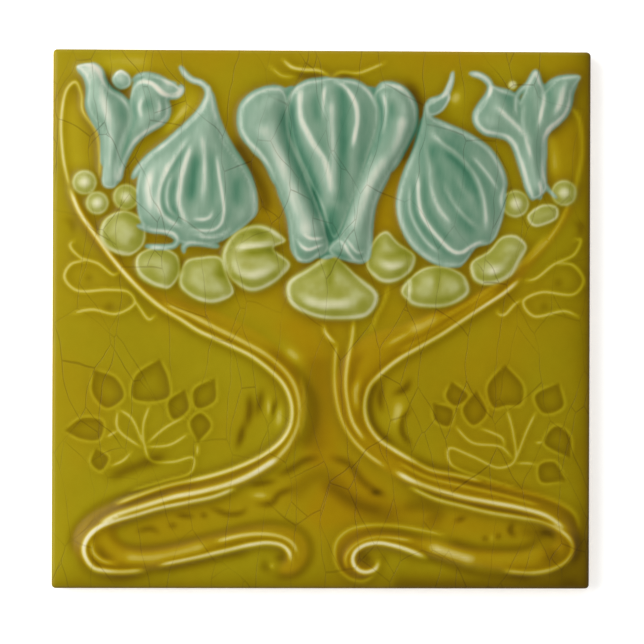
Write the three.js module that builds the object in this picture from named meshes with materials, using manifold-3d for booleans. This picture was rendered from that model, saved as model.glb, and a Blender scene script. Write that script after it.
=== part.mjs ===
// An art nouveau relief tile: one clay tile, pressed in a die, glazed on its face and fired in one piece.
// The face carries a moulded ornament of flowers, buds, leaves and whiplash stems. The back is ribbed.
// Units are millimetres and +Z is up. The tile lies on its back, with the top of the ornament towards +Y.
// The origin is the middle of the back, on the plane of the ribs.
import * as THREE from "three";
import { mergeVertices } from "three/addons/utils/BufferGeometryUtils.js";
import Module from "manifold-3d";

// The blank
const tileWidth = 152.4;
const tileLength = 152.4;
const fieldThickness = 8;
const cornerRadius = 2;
const faceEdgeRounding = 1;
const backEdgeChamfer = 0.4;

// The grooves of the back, between its ribs
const grooveWidth = 3.6;
const groovePitch = 9;
const grooveDepth = 1.1;
const plainBackMargin = 9;

// How round the ends of a groove are, as a share of its width, and in how many steps a rounding turns
const grooveEndShare = 0.45;
const roundingSteps = 3;

// How far each form of the relief stands above the field
const petalRise = 2.4;
const budRise = 2.8;
const leafRise = 2;
const berryRise = 2.1;
const stemRise = 1.3;
const scrollRise = 0.7;
const rimRise = 0.5;
const scrollWidth = 1.1;
const rimWidth = 0.9;

// How deep the forms are rooted in the blank, and how finely their outlines are followed
const rootDepth = 1;
const outlineStep = 3.4;
const stemStep = 4;
const scrollStep = 3;

// The plain margin that the ornament leaves at the sides, and at the top and bottom
const sideMargin = 1.6;
const endMargin = 2.4;

// Sections of the forms: how high they stand, as shares of their rise, at shares of the way across
const crownedSection = [[0, 0], [0.16, 0.68], [0.5, 1], [0.84, 0.68], [1, 0]];
const channelSection = [[0, 0], [0.14, 1], [0.5, 0.5], [0.86, 1], [1, 0]];
const endTaper = 0.12;

// Long forms, drawn by pairs of points on their two edges: x and y of the one, then x and y of the other
const leftTrumpetFront = [
  [-61.8, 37.4, -58.6, 37.2], [-61.6, 46.7, -58.2, 44], [-62.1, 52.8, -56.6, 50],
  [-65.2, 57.5, -54.6, 56], [-66.5, 61.2, -55.2, 61.2], [-66.1, 66.2, -60.2, 64.9],
  [-67.4, 69.4, -62.7, 69.6], [-69.8, 71.2, -65, 72],
];
const leftTrumpetBack = [
  [-58.4, 39, -57, 39], [-57.2, 46, -55.2, 46.2], [-55.4, 52, -50.6, 51.7], [-54.2, 57, -45.2, 55.2],
  [-54.4, 62, -43.6, 58.5], [-53.2, 66, -44, 62], [-49.5, 68.6, -42, 63.4], [-43.3, 67.1, -39.8, 64.4],
];
const rightTrumpetFront = [
  [59.6, 34.4, 63.4, 36.8], [57.7, 39.6, 62.7, 44.1], [55.6, 46, 63.3, 51.7], [56.6, 53, 67.5, 55.9],
  [59.6, 58.6, 70.3, 60.5], [62.9, 64.6, 70.9, 65.4], [67.5, 68.8, 73.3, 69.2],
];
const rightTrumpetMiddle = [
  [56, 48, 62, 48], [54.8, 54, 62.8, 54], [55.4, 60, 64.6, 60], [57.6, 65.4, 62.6, 65.4],
  [60.3, 70.6, 60.8, 70.6],
];
const rightTrumpetBack = [
  [57.8, 40, 61, 41], [54.6, 48, 60, 49], [51.2, 52, 58.4, 56], [45.6, 53, 56.4, 60.6],
  [43.5, 57.6, 55, 63.6], [46.2, 61.7, 51.4, 64.8], [47.4, 66.6, 48.4, 66.4],
];
const leftPetal = [
  [-6.6, 16.4, 1.4, 19.4], [-8.2, 21, 0.9, 25], [-9.4, 28.5, -1.6, 33], [-12.4, 37, -5.2, 42],
  [-16.1, 43.6, -8.4, 50], [-20.8, 48.6, -9.8, 55], [-23.4, 54.5, -10, 60], [-22.5, 61, -10.6, 63.6],
  [-18.6, 64.4, -12.4, 65.4],
];
const rightPetal = [
  [1.8, 19.4, 11, 16.2], [5.2, 24, 13.6, 20], [8.2, 32, 13.9, 27], [11, 40, 15.8, 35],
  [13.6, 47, 20.4, 43.6], [15.4, 53, 24.8, 51], [15.8, 58.5, 26.6, 57.6], [14.7, 64.2, 25.6, 63],
  [18.9, 66.7, 22.6, 66.2],
];
const leftStem = [
  [-69.8, 34.9, -70.8, 34.6], [-64.8, 26.2, -66.7, 25.2], [-58.6, 18.2, -60.2, 16.9],
  [-50.9, 10.4, -52.5, 9], [-38.5, 4.6, -42.3, 1.3], [-26.4, 0.8, -31, -5], [-13.8, -6.6, -19.5, -10.5],
  [-7.1, -13.8, -12.7, -15.8], [-4.5, -22, -8.9, -22], [-4.9, -28.8, -8.3, -28.5],
  [-9, -38.8, -13.2, -35.8], [-18, -44.8, -20.5, -40.6], [-31, -50, -32, -44.8], [-44, -53.4, -45, -47.6],
  [-53.4, -56.6, -56, -51], [-57, -58.6, -64.4, -54.4], [-57.8, -60.4, -69.3, -59],
  [-57.2, -62, -70.2, -64.4], [-55.8, -63.4, -66.4, -69.8], [-52.6, -64.1, -58.4, -72.2],
  [-45, -64, -46, -70.4], [-34, -61.4, -33, -67.2], [-20.6, -58, -21, -64.4], [-9.6, -58.8, -13.4, -63.6],
  [-4.4, -62.4, -10.6, -65.2], [-3.8, -67.4, -10.2, -67.6], [-7.6, -72.4, -11.2, -69.4],
  [-11.4, -71.2, -12, -70.4],
];
const rightStem = [
  [71, 32, 70.2, 33], [66, 23, 64.6, 24.6], [58, 13.6, 55.3, 16.3], [50.6, 6.2, 47.6, 10.1],
  [40.6, 0.4, 37.6, 4.8], [28.4, -7.1, 24.6, -0.4], [18.4, -13.4, 11.2, -5.4], [12.8, -20, 4, -15.8],
  [11.7, -25.8, 4.2, -25], [16.8, -33.7, 9.4, -35.6], [26, -40, 20.6, -44.6], [38, -44, 34.8, -50.6],
  [50, -46.4, 48, -54.2], [62, -49.4, 57.6, -56.2], [70, -53.4, 63.6, -58.4], [73.2, -60, 66.2, -60.8],
  [72.8, -66, 66, -62.8], [68.4, -70, 63.6, -64.2], [59, -72.2, 57.6, -65], [46.7, -70, 46, -64.6],
  [34, -67.6, 34, -62.6], [24, -65.4, 22.4, -59.8], [15, -64.2, 11.6, -58.6], [11.4, -65.6, 5.4, -62.6],
  [10.6, -67.8, 4.2, -67.8], [11.6, -69.2, 7.2, -72.4], [13.2, -69.2, 12.4, -73],
  [14.2, -68.4, 15.8, -70],
];

// Compact forms, drawn by their outlines. A third value of 1 marks a corner
const corner = 1;
const middlePetal = [
  [-9.8, 62.5], [-7.4, 66], [-1.6, 67.7], [2.6, 68.4], [9.5, 67], [14.2, 63.8], [15.8, 58.5], [13.4, 48],
  [8.5, 34], [3.4, 23, corner], [-0.6, 33], [-7.2, 47], [-9.6, 57],
];
const leftBud = [
  [-32.2, 66.2, corner], [-33.7, 59.9], [-39, 54.1], [-47, 47.8], [-51.6, 41.5], [-52.4, 33],
  [-50.7, 26.7], [-44.5, 24], [-39, 21.4], [-30, 21.6], [-24, 25], [-19.5, 29], [-18.8, 34],
  [-22.2, 42.3], [-28.2, 50.9], [-30.3, 59],
];
const rightBud = [
  [29.4, 61.6, corner], [31.3, 57], [38.9, 53.4], [45.9, 49.1], [50.6, 43.3], [52, 37.5], [50.9, 28],
  [48, 22], [43.8, 20.6], [39.5, 15.6], [33, 15.6], [26.6, 19.6], [22.4, 25.9], [21.2, 32.7], [23.7, 42],
  [27.6, 53.3],
];
const bigLeftLeaf = [
  [-10.2, 22.2, corner], [-14.5, 25.6], [-19, 26.6], [-24.8, 24.3], [-28.2, 18], [-25.8, 11.4], [-20, 8],
  [-13, 10.8], [-9, 15.6, corner], [-13.7, 20.2, corner],
];
const lowLeftLeaf = [
  [-38.5, 16.4], [-40.2, 9.6], [-35.6, 5.6], [-30.3, 4.7], [-25, 7.4], [-27, 13], [-29, 17.6], [-34, 17.6],
];
const outerLeftLeaf = [
  [-52.1, 18], [-52.5, 14], [-48, 10.1], [-43.5, 8.6], [-40.4, 12.4], [-41, 18], [-46.7, 20.3],
];
const roundLeftLeaf = [
  [-56.4, 30.6], [-61.6, 28], [-62.9, 23.4], [-59.8, 19.2], [-54.5, 17.9], [-50.6, 20.8], [-50, 25.6],
  [-52, 29],
];
const middleLeaf = [
  [2.2, 18.3, corner], [-3.5, 14.6], [-9.8, 10.1], [-9, 4.6], [-2.2, 0.9],
  [5.3, 0.1], [13.2, 1.4], [15.9, 6.7], [9.7, 12.7],
];
const innerRightLeaf = [
  [15, 23], [18.2, 25.1], [21.4, 22], [26.4, 18], [25.4, 14], [21, 10.9], [16.8, 10.8], [12.6, 15],
];
const lowRightLeaf = [
  [22.4, 8], [24.5, 11.4], [28.9, 14.7], [35, 15.1], [40.4, 12.4], [41.7, 8], [37, 4.4], [31.6, 3.5],
  [25, 4.9],
];
const outerRightLeaf = [
  [42.2, 16.2], [47.2, 19.6], [50.9, 23.6], [55, 24], [58.1, 20.9],
  [55.4, 15.6], [53.5, 12.3], [46.4, 9.9], [42.8, 12],
];
const smallRightLeaf = [[58.1, 29.4], [59.8, 26.7], [63.3, 27.1], [66.9, 29.3], [66.6, 32.2], [62.4, 32.8]];

// Round berries: x and y of the middle, then the two half widths
const berries = [
  [-67.2, 38.5, 3.5, 3.5], [-63.6, 32.7, 3.3, 3.2], [-55.5, 34.4, 3.7, 3.5], [-57, 67.9, 2.8, 2.6],
  [54.8, 33, 3.8, 4.2], [68.6, 36.1, 3.7, 3.6],
];
const berryPoints = 12;

// Single raised lines: the loop and tendrils over the flowers, the side scrolls, the stalks of the sprays
const scrolls = [
  [
    [-71.4, 37], [-73.7, 45.9], [-74.2, 57], [-72.4, 65.2], [-69.9, 66.9],
    [-68, 63.5], [-67.8, 58.8], [-63.7, 52.5], [-62.8, 42],
  ],
  [[-41, 71.8], [-39, 69.1], [-35, 66.9], [-32.4, 64.6]],
  [[-15.3, 71.9], [-11.4, 68.9], [-7.4, 68.8]],
  [[-11.4, 73.8], [-5.6, 70.7], [-0.6, 70.6], [2.5, 68.4]],
  [[2.5, 68.6], [7, 70], [12, 69.8]],
  [[37.1, 70.2], [36, 66], [33, 62.6], [30, 61.2]],
  [[41.7, 70], [46.4, 68.2], [47.5, 65.4]],
  [[-69.9, 22.2], [-71.3, 20.9], [-68.6, 17.5], [-63.3, 15.6], [-58.8, 12.4], [-57, 13.4]],
  [
    [-66, 16.5], [-70.9, 15.4], [-72.8, 11.8], [-69.6, 8.1], [-60, 8.2], [-54.6, 7.5], [-52.9, 4.6],
    [-58, 1.4], [-64.9, 2.6], [-70.4, 1.6],
  ],
  [[-53.6, 6.4], [-51.2, 2.6], [-48.8, -0.2], [-46.9, 1.2]],
  [[71.5, 22.7], [73.5, 23], [71.7, 18.8], [65.9, 15.9], [60.4, 11.7], [57.4, 11.2]],
  [
    [65.9, 15.9], [71, 15.8], [74.6, 11.4], [71.7, 7.5], [62, 7.9],
    [57.1, 5.2], [60, 1.2], [69, 2.6], [73.6, 0.8],
  ],
  [[49.6, 3], [51.6, 1.5], [54.8, 4.6], [57, 6]],
  [
    [-48.5, -24], [-50.4, -30], [-50, -35.8], [-48.3, -39.9],
    [-42, -40.4], [-36.2, -39.2], [-36.8, -43.2], [-44.1, -45.7],
  ],
  [[-57.6, -25.4], [-53.8, -28], [-50.2, -36]],
  [[-60, -41.8], [-56, -40], [-50.4, -36.6]],
  [[-50, -36.2], [-43, -35.6], [-37.6, -32.4]],
  [
    [52.5, -25], [54.4, -32], [54.8, -40], [50.6, -41.9],
    [42.7, -38.6], [36.2, -36.4], [36.6, -40.7], [45.9, -44.7],
  ],
  [[61, -25.7], [58, -32], [55, -40.2]],
  [[54.8, -40.6], [58.6, -40.6], [61.4, -41]],
  [[37.6, -29.8], [42.7, -34.7], [52.2, -36], [54.4, -39.4]],
];

// The rims of the small leaves of the two sprays. Each first point is the tip
const sprayLeaves = [
  [[-64.6, -14.2], [-58, -16.6], [-55.7, -22], [-60.7, -25.5], [-65, -21]],
  [[-45.7, -11], [-52.8, -16], [-53.6, -22.4], [-48.4, -23.6], [-43, -22], [-43.2, -16.6]],
  [[-73, -31.6], [-67.6, -27.8], [-61.6, -29], [-62.6, -34.2], [-68, -34.2]],
  [[-63.8, -36.3], [-59.9, -39.2], [-62.4, -43.2], [-65.4, -40.6]],
  [[-38.5, -19.5], [-43.6, -23.4], [-42, -28.6], [-37.4, -25.6]],
  [[-29.9, -16.3], [-36.4, -20], [-35.4, -25.4], [-30, -23.2]],
  [[-35, -35.3], [-37.4, -29], [-34.2, -26.3], [-31, -30]],
  [[51.9, -12.2], [46.8, -19], [48.8, -25], [52.6, -24.4], [56.6, -24], [57.4, -18.8]],
  [[67.5, -17.4], [60.3, -21.4], [63, -26.6], [68.8, -24.6]],
  [[70.9, -39.5], [63, -34.8], [66.4, -29.8], [70.7, -32.6]],
  [[69.8, -45.7], [62.2, -46], [61.7, -41], [66.2, -40]],
  [[44, -19.5], [39.8, -25.6], [43, -30.1], [47.1, -26.4]],
  [[36.8, -17.1], [35, -21.8], [38, -24.6], [41.8, -21.4]],
  [[31.3, -23.2], [32, -28.6], [36.2, -30.4], [37.4, -25.4]],
];

const wasm = await Module();
wasm.setup();

// How far the drawing reaches from the middle of the tile, across it and along it
const outermost = [leftStem, rightStem, leftTrumpetFront, rightTrumpetFront, ...scrolls, ...sprayLeaves];
const drawnPoints = outermost.flat();
const drawnAcross = Math.max(...drawnPoints.map(([x]) => Math.abs(x)));
const drawnAlong = Math.max(...drawnPoints.map(([, y]) => Math.abs(y)));

// Where a drawn point lies on the blank: the drawing fills the face up to its plain margins
function place(x, y) {
  const across = (tileWidth / 2 - sideMargin) / drawnAcross;
  const along = (tileLength / 2 - endMargin) / drawnAlong;
  return new THREE.Vector3(x * across, y * along, 0);
}

// A smooth curve through drawn points
function curveThrough(points, closed = false) {
  return new THREE.CatmullRomCurve3(points.map(([x, y]) => place(x, y)), closed, "centripetal");
}

// Even points along an outline, smooth except at its corners
function outlinePoints(outline) {
  const first = outline.findIndex((point) => point[2] === corner);
  if (first < 0) {
    const curve = curveThrough(outline, true);
    return curve.getSpacedPoints(Math.round(curve.getLength() / outlineStep)).slice(0, -1);
  }
  const turned = [...outline.slice(first), ...outline.slice(0, first + 1)];
  const line = [];
  let stretch = [turned[0]];
  for (const point of turned.slice(1)) {
    stretch.push(point);
    if (point[2] !== corner) continue;
    const curve = curveThrough(stretch);
    const steps = Math.max(2, Math.round(curve.getLength() / outlineStep));
    line.push(...curve.getSpacedPoints(steps).slice(0, -1));
    stretch = [point];
  }
  return line;
}

// A three.js geometry as a solid that can be joined and cut, without triangles that have shrunk to a line
function solidOf(geometry) {
  geometry.deleteAttribute("normal");
  geometry.deleteAttribute("uv");
  const merged = mergeVertices(geometry, 1e-4);
  const index = merged.index.array;
  const kept = [];
  for (let i = 0; i < index.length; i += 3) {
    const [a, b, c] = [index[i], index[i + 1], index[i + 2]];
    if (a !== b && b !== c && c !== a) kept.push(a, b, c);
  }
  return new wasm.Manifold(
    new wasm.Mesh({
      numProp: 3,
      vertProperties: Float32Array.from(merged.attributes.position.array),
      triVerts: Uint32Array.from(kept),
    }),
  );
}

// A solid as a three.js geometry
function geometryOf(solid) {
  const mesh = solid.getMesh();
  const geometry = new THREE.BufferGeometry();
  geometry.setAttribute("position", new THREE.BufferAttribute(Float32Array.from(mesh.vertProperties), 3));
  geometry.setIndex(new THREE.BufferAttribute(Uint32Array.from(mesh.triVerts), 1));
  geometry.computeVertexNormals();
  return geometry;
}

// A domed form over an outline: a turned dome whose spokes are stretched to reach the outline
function dome(line, rise) {
  const outline = THREE.ShapeUtils.isClockWise(line) ? [...line].reverse() : line;
  const middle = new THREE.Vector3();
  outline.forEach((point) => middle.addScaledVector(point, 1 / outline.length));
  const half = crownedSection.slice(0, (crownedSection.length + 1) / 2);
  const profile = [
    new THREE.Vector2(0, -rootDepth),
    new THREE.Vector2(1, -rootDepth),
    ...half.map(([across, height]) => new THREE.Vector2(1 - 2 * across, rise * height)),
  ];
  const geometry = new THREE.LatheGeometry(profile, outline.length);
  const position = geometry.attributes.position;
  for (let i = 0; i < position.count; i += 1) {
    const spoke = outline[Math.floor(i / profile.length) % outline.length];
    const { x: reach, y: height } = profile[i % profile.length];
    const point = middle.clone().lerp(spoke, reach);
    position.setXYZ(i, point.x, point.y, fieldThickness + height);
  }
  return solidOf(geometry);
}

// A long form between two edges: a block whose rows reach from edge to edge, raised to its section
function strip(pairs, section, rise, step) {
  const edges = [
    curveThrough(pairs.map(([x, y]) => [x, y])),
    curveThrough(pairs.map(([, , x, y]) => [x, y])),
  ];
  const rows = Math.round(Math.max(edges[0].getLength(), edges[1].getLength()) / step);
  const ends = [0, 1].map((t) => edges.map((edge) => edge.getPoint(t)));
  const outline = [...edges[0].getPoints(rows), ...edges[1].getPoints(rows).reverse()];
  const [left, right] = THREE.ShapeUtils.isClockWise(outline) ? edges : [edges[1], edges[0]];
  const geometry = new THREE.BoxGeometry(1, 1, 1, section.length - 1, rows, 1);
  const position = geometry.attributes.position;
  for (let i = 0; i < position.count; i += 1) {
    const [across, height] = section[Math.round((position.getX(i) + 0.5) * (section.length - 1))];
    const along = position.getY(i) + 0.5;
    const point = left.getPoint(along).lerp(right.getPoint(along), across);
    const taper = Math.sqrt(Math.min(1, Math.min(along, 1 - along) / endTaper));
    const top = fieldThickness + rise * height * taper;
    position.setXYZ(i, point.x, point.y, position.getZ(i) > 0 ? top : fieldThickness - rootDepth);
  }
  return solidOf(geometry);
}

// A raised line with a roof-shaped section
function ridge(points, width, rise) {
  const curve = curveThrough(points);
  const steps = Math.round(curve.getLength() / scrollStep);
  const path = new THREE.CatmullRomCurve3(
    curve.getSpacedPoints(steps).map((v) => new THREE.Vector3(v.x, v.y, fieldThickness)),
    false,
    "centripetal",
  );
  // the section's x runs down into the tile and its y runs sideways
  const section = new THREE.Shape([
    new THREE.Vector2(-rise, 0),
    new THREE.Vector2(rootDepth / 2, width / 2),
    new THREE.Vector2(rootDepth / 2, -width / 2),
  ]);
  return solidOf(new THREE.ExtrudeGeometry(section, { extrudePath: path, steps, bevelEnabled: false }));
}

// A rectangle with round corners, about the origin
function roundedRectangle(width, length, radius) {
  const x = width / 2 - radius;
  const y = length / 2 - radius;
  const shape = new THREE.Shape();
  shape.absarc(x, -y, radius, -Math.PI / 2, 0);
  shape.absarc(x, y, radius, 0, Math.PI / 2);
  shape.absarc(-x, y, radius, Math.PI / 2, Math.PI);
  shape.absarc(-x, -y, radius, Math.PI, 1.5 * Math.PI);
  return shape;
}

// The pressed blank: a rounded edge round the face and a small chamfer round the back
function makeBlank() {
  const shape = roundedRectangle(tileWidth, tileLength, cornerRadius);
  const rounded = (reach, segments) =>
    new THREE.ExtrudeGeometry(shape, {
      depth: fieldThickness,
      bevelThickness: reach,
      bevelSize: reach,
      bevelOffset: -reach,
      bevelSegments: segments,
      curveSegments: roundingSteps,
    });
  const face = rounded(faceEdgeRounding, roundingSteps);
  face.translate(0, 0, -faceEdgeRounding);
  const back = rounded(backEdgeChamfer, 1);
  back.translate(0, 0, backEdgeChamfer);
  return solidOf(face).intersect(solidOf(back));
}

// The grooves between the ribs of the back, which stop short of the edges
function makeGrooves() {
  const grooveLength = tileWidth - 2 * plainBackMargin;
  const shape = roundedRectangle(grooveLength, grooveWidth, grooveWidth * grooveEndShare);
  const reach = tileLength / 2 - plainBackMargin - grooveWidth / 2;
  const count = 2 * Math.floor(reach / groovePitch + 0.5);
  const grooves = [];
  for (let i = 0; i < count; i += 1) {
    const geometry = new THREE.ExtrudeGeometry(shape, {
      depth: 2 * grooveDepth,
      bevelEnabled: false,
      curveSegments: roundingSteps,
    });
    geometry.translate(0, (i - (count - 1) / 2) * groovePitch, -grooveDepth);
    grooves.push(solidOf(geometry));
  }
  return grooves;
}

// Everything that stands up from the field
function makeRelief() {
  const flowers = [
    leftTrumpetFront, leftTrumpetBack, rightTrumpetFront, rightTrumpetMiddle, rightTrumpetBack,
    leftPetal, rightPetal,
  ];
  const leaves = [
    bigLeftLeaf, lowLeftLeaf, outerLeftLeaf, roundLeftLeaf, middleLeaf,
    innerRightLeaf, lowRightLeaf, outerRightLeaf, smallRightLeaf,
  ];
  const berryOutline = ([x, y, halfWidth, halfLength]) => {
    const ellipse = new THREE.EllipseCurve(x, y, halfWidth, halfLength);
    const points = ellipse.getPoints(berryPoints).slice(0, -1);
    return points.map(({ x: across, y: along }) => place(across, along));
  };
  return [
    ...flowers.map((pairs) => strip(pairs, crownedSection, petalRise, outlineStep)),
    ...[leftStem, rightStem].map((pairs) => strip(pairs, channelSection, stemRise, stemStep)),
    dome(outlinePoints(middlePetal), petalRise),
    ...[leftBud, rightBud].map((outline) => dome(outlinePoints(outline), budRise)),
    ...leaves.map((outline) => dome(outlinePoints(outline), leafRise)),
    ...berries.map((berry) => dome(berryOutline(berry), berryRise)),
    ...scrolls.map((points) => ridge(points, scrollWidth, scrollRise)),
    ...sprayLeaves.map((points) => ridge([...points, points[0]], rimWidth, rimRise)),
  ];
}

const raised = wasm.Manifold.union([makeBlank(), ...makeRelief()]);
const tile = wasm.Manifold.difference([raised, ...makeGrooves()]);

const glazedClay = new THREE.MeshStandardMaterial({
  name: "glazed_clay",
  color: "#9a8a1e",
  roughness: 0.15,
  metalness: 0,
});
const mesh = new THREE.Mesh(geometryOf(tile), glazedClay);
mesh.name = "tile";
const group = new THREE.Group();
group.add(mesh);

export default group;
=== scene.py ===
# Art nouveau relief tile: the moulded face, its coloured glazes, the bare clay of its sides and ribbed back.
import math

import bmesh
import bpy
import numpy as np
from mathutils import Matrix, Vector


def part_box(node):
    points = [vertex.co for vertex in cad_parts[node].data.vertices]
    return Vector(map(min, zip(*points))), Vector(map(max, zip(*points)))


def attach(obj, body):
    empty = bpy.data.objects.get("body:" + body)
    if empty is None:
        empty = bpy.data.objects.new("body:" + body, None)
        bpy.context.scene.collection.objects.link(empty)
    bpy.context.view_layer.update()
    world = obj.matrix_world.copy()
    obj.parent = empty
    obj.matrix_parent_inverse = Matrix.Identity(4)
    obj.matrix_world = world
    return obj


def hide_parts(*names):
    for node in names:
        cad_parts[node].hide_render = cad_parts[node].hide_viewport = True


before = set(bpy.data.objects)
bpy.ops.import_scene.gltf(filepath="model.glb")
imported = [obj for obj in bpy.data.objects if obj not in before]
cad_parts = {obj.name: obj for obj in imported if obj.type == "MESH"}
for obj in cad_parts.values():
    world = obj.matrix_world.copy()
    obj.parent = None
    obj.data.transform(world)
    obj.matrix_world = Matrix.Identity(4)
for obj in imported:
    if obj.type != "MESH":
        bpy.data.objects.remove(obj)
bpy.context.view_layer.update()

mm = 0.001
tileLow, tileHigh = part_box("tile")
halfWide = tileHigh.x / mm
halfLong = tileHigh.y / mm

# The relief is drawn in millimetres from the middle of the tile, y towards the top of the ornament.
# mounds: (rise, width of the shoulder, outline). folds: (rise, width on its left, width on its right, line),
# where a rise below nothing is a hollow.

leftTrumpet = {
    "rim": 0.44,
    "mounds": [
        (1.9, 3.0, [
            (-58.4, 39), (-57.2, 46), (-55.4, 52), (-54.2, 57), (-54.4, 62), (-53.2, 66), (-49.5, 68.6),
            (-43.3, 67.1), (-39.8, 64.4), (-42, 63.4), (-44, 62), (-43.6, 58.5), (-45.2, 55.2),
            (-50.6, 51.7), (-55.2, 46.2), (-57, 39)]),
        (2.3, 2.8, [
            (-61.8, 37.4), (-61.6, 46.7), (-62.1, 52.8), (-65.2, 57.5), (-66.5, 61.2), (-66.1, 66.2),
            (-67.4, 69.4), (-69.8, 71.2), (-65, 72), (-62.7, 69.6), (-60.2, 64.9), (-55.2, 61.2),
            (-54.6, 56), (-56.6, 50), (-58.2, 44), (-58.6, 37.2)]),
        (1.7, 2.6, [(-59.6, 67.6), (-57.4, 70.3), (-54.6, 68.6), (-54.4, 66), (-57.4, 64.9)]),
    ],
    "folds": [
        (0.55, 0.7, 0.8, [
            (-65, 72), (-63, 70), (-61.8, 67), (-60, 64.5), (-57.5, 63), (-55.5, 61), (-54.3, 58),
            (-54.6, 55), (-56.5, 50), (-57.8, 45), (-58.5, 40)]),
        (0.3, 0.8, 0.7, [
            (-62, 43), (-62.2, 52), (-64.5, 56), (-66.2, 60), (-66, 65), (-67.3, 69), (-69.6, 70.7)]),
        (-0.45, 1.4, 1.4, [(-58.3, 61), (-57.2, 58.5), (-57, 55)]),
        (0.22, 1.2, 1.2, [(-62.4, 68), (-62, 62), (-60.6, 56), (-60.2, 50), (-60.2, 42)]),
        (-0.6, 0.9, 0.9, [(-61.4, 69.6), (-60.2, 66.4), (-58, 64.7), (-55, 64.2)]),
        (0.5, 0.7, 0.7, [
            (-53.5, 65), (-52, 66.8), (-50, 67), (-48, 66.3), (-46.5, 64.8), (-45, 63.5), (-43, 62.9),
            (-41, 63.3), (-39.8, 65), (-40.2, 66.2)]),
        (0.3, 0.6, 0.6, [(-54, 67), (-52, 68.7), (-49, 69), (-46, 68.2), (-43.5, 66.8), (-41, 66.6)]),
        (0.4, 0.7, 0.7, [
            (-44.5, 62.5), (-43.8, 60), (-44, 57.5), (-45.5, 55.5), (-48, 54), (-51, 52), (-53.5, 49.5),
            (-55.5, 46), (-57, 42), (-58.3, 38)]),
        (-0.7, 1.2, 1.2, [(-49.6, 62.4), (-49.2, 60.5), (-48.8, 58.8)]),
        (0.35, 0.7, 0.7, [(-51.2, 56.6), (-51.8, 60), (-50.5, 62.8)]),
        (0.3, 0.6, 0.6, [(-46.6, 57), (-46, 60), (-46.8, 62.4)]),
        (-0.35, 0.7, 0.7, [(-54.2, 63), (-53.6, 57), (-55.6, 50), (-57.4, 43)]),
    ],
}

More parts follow.
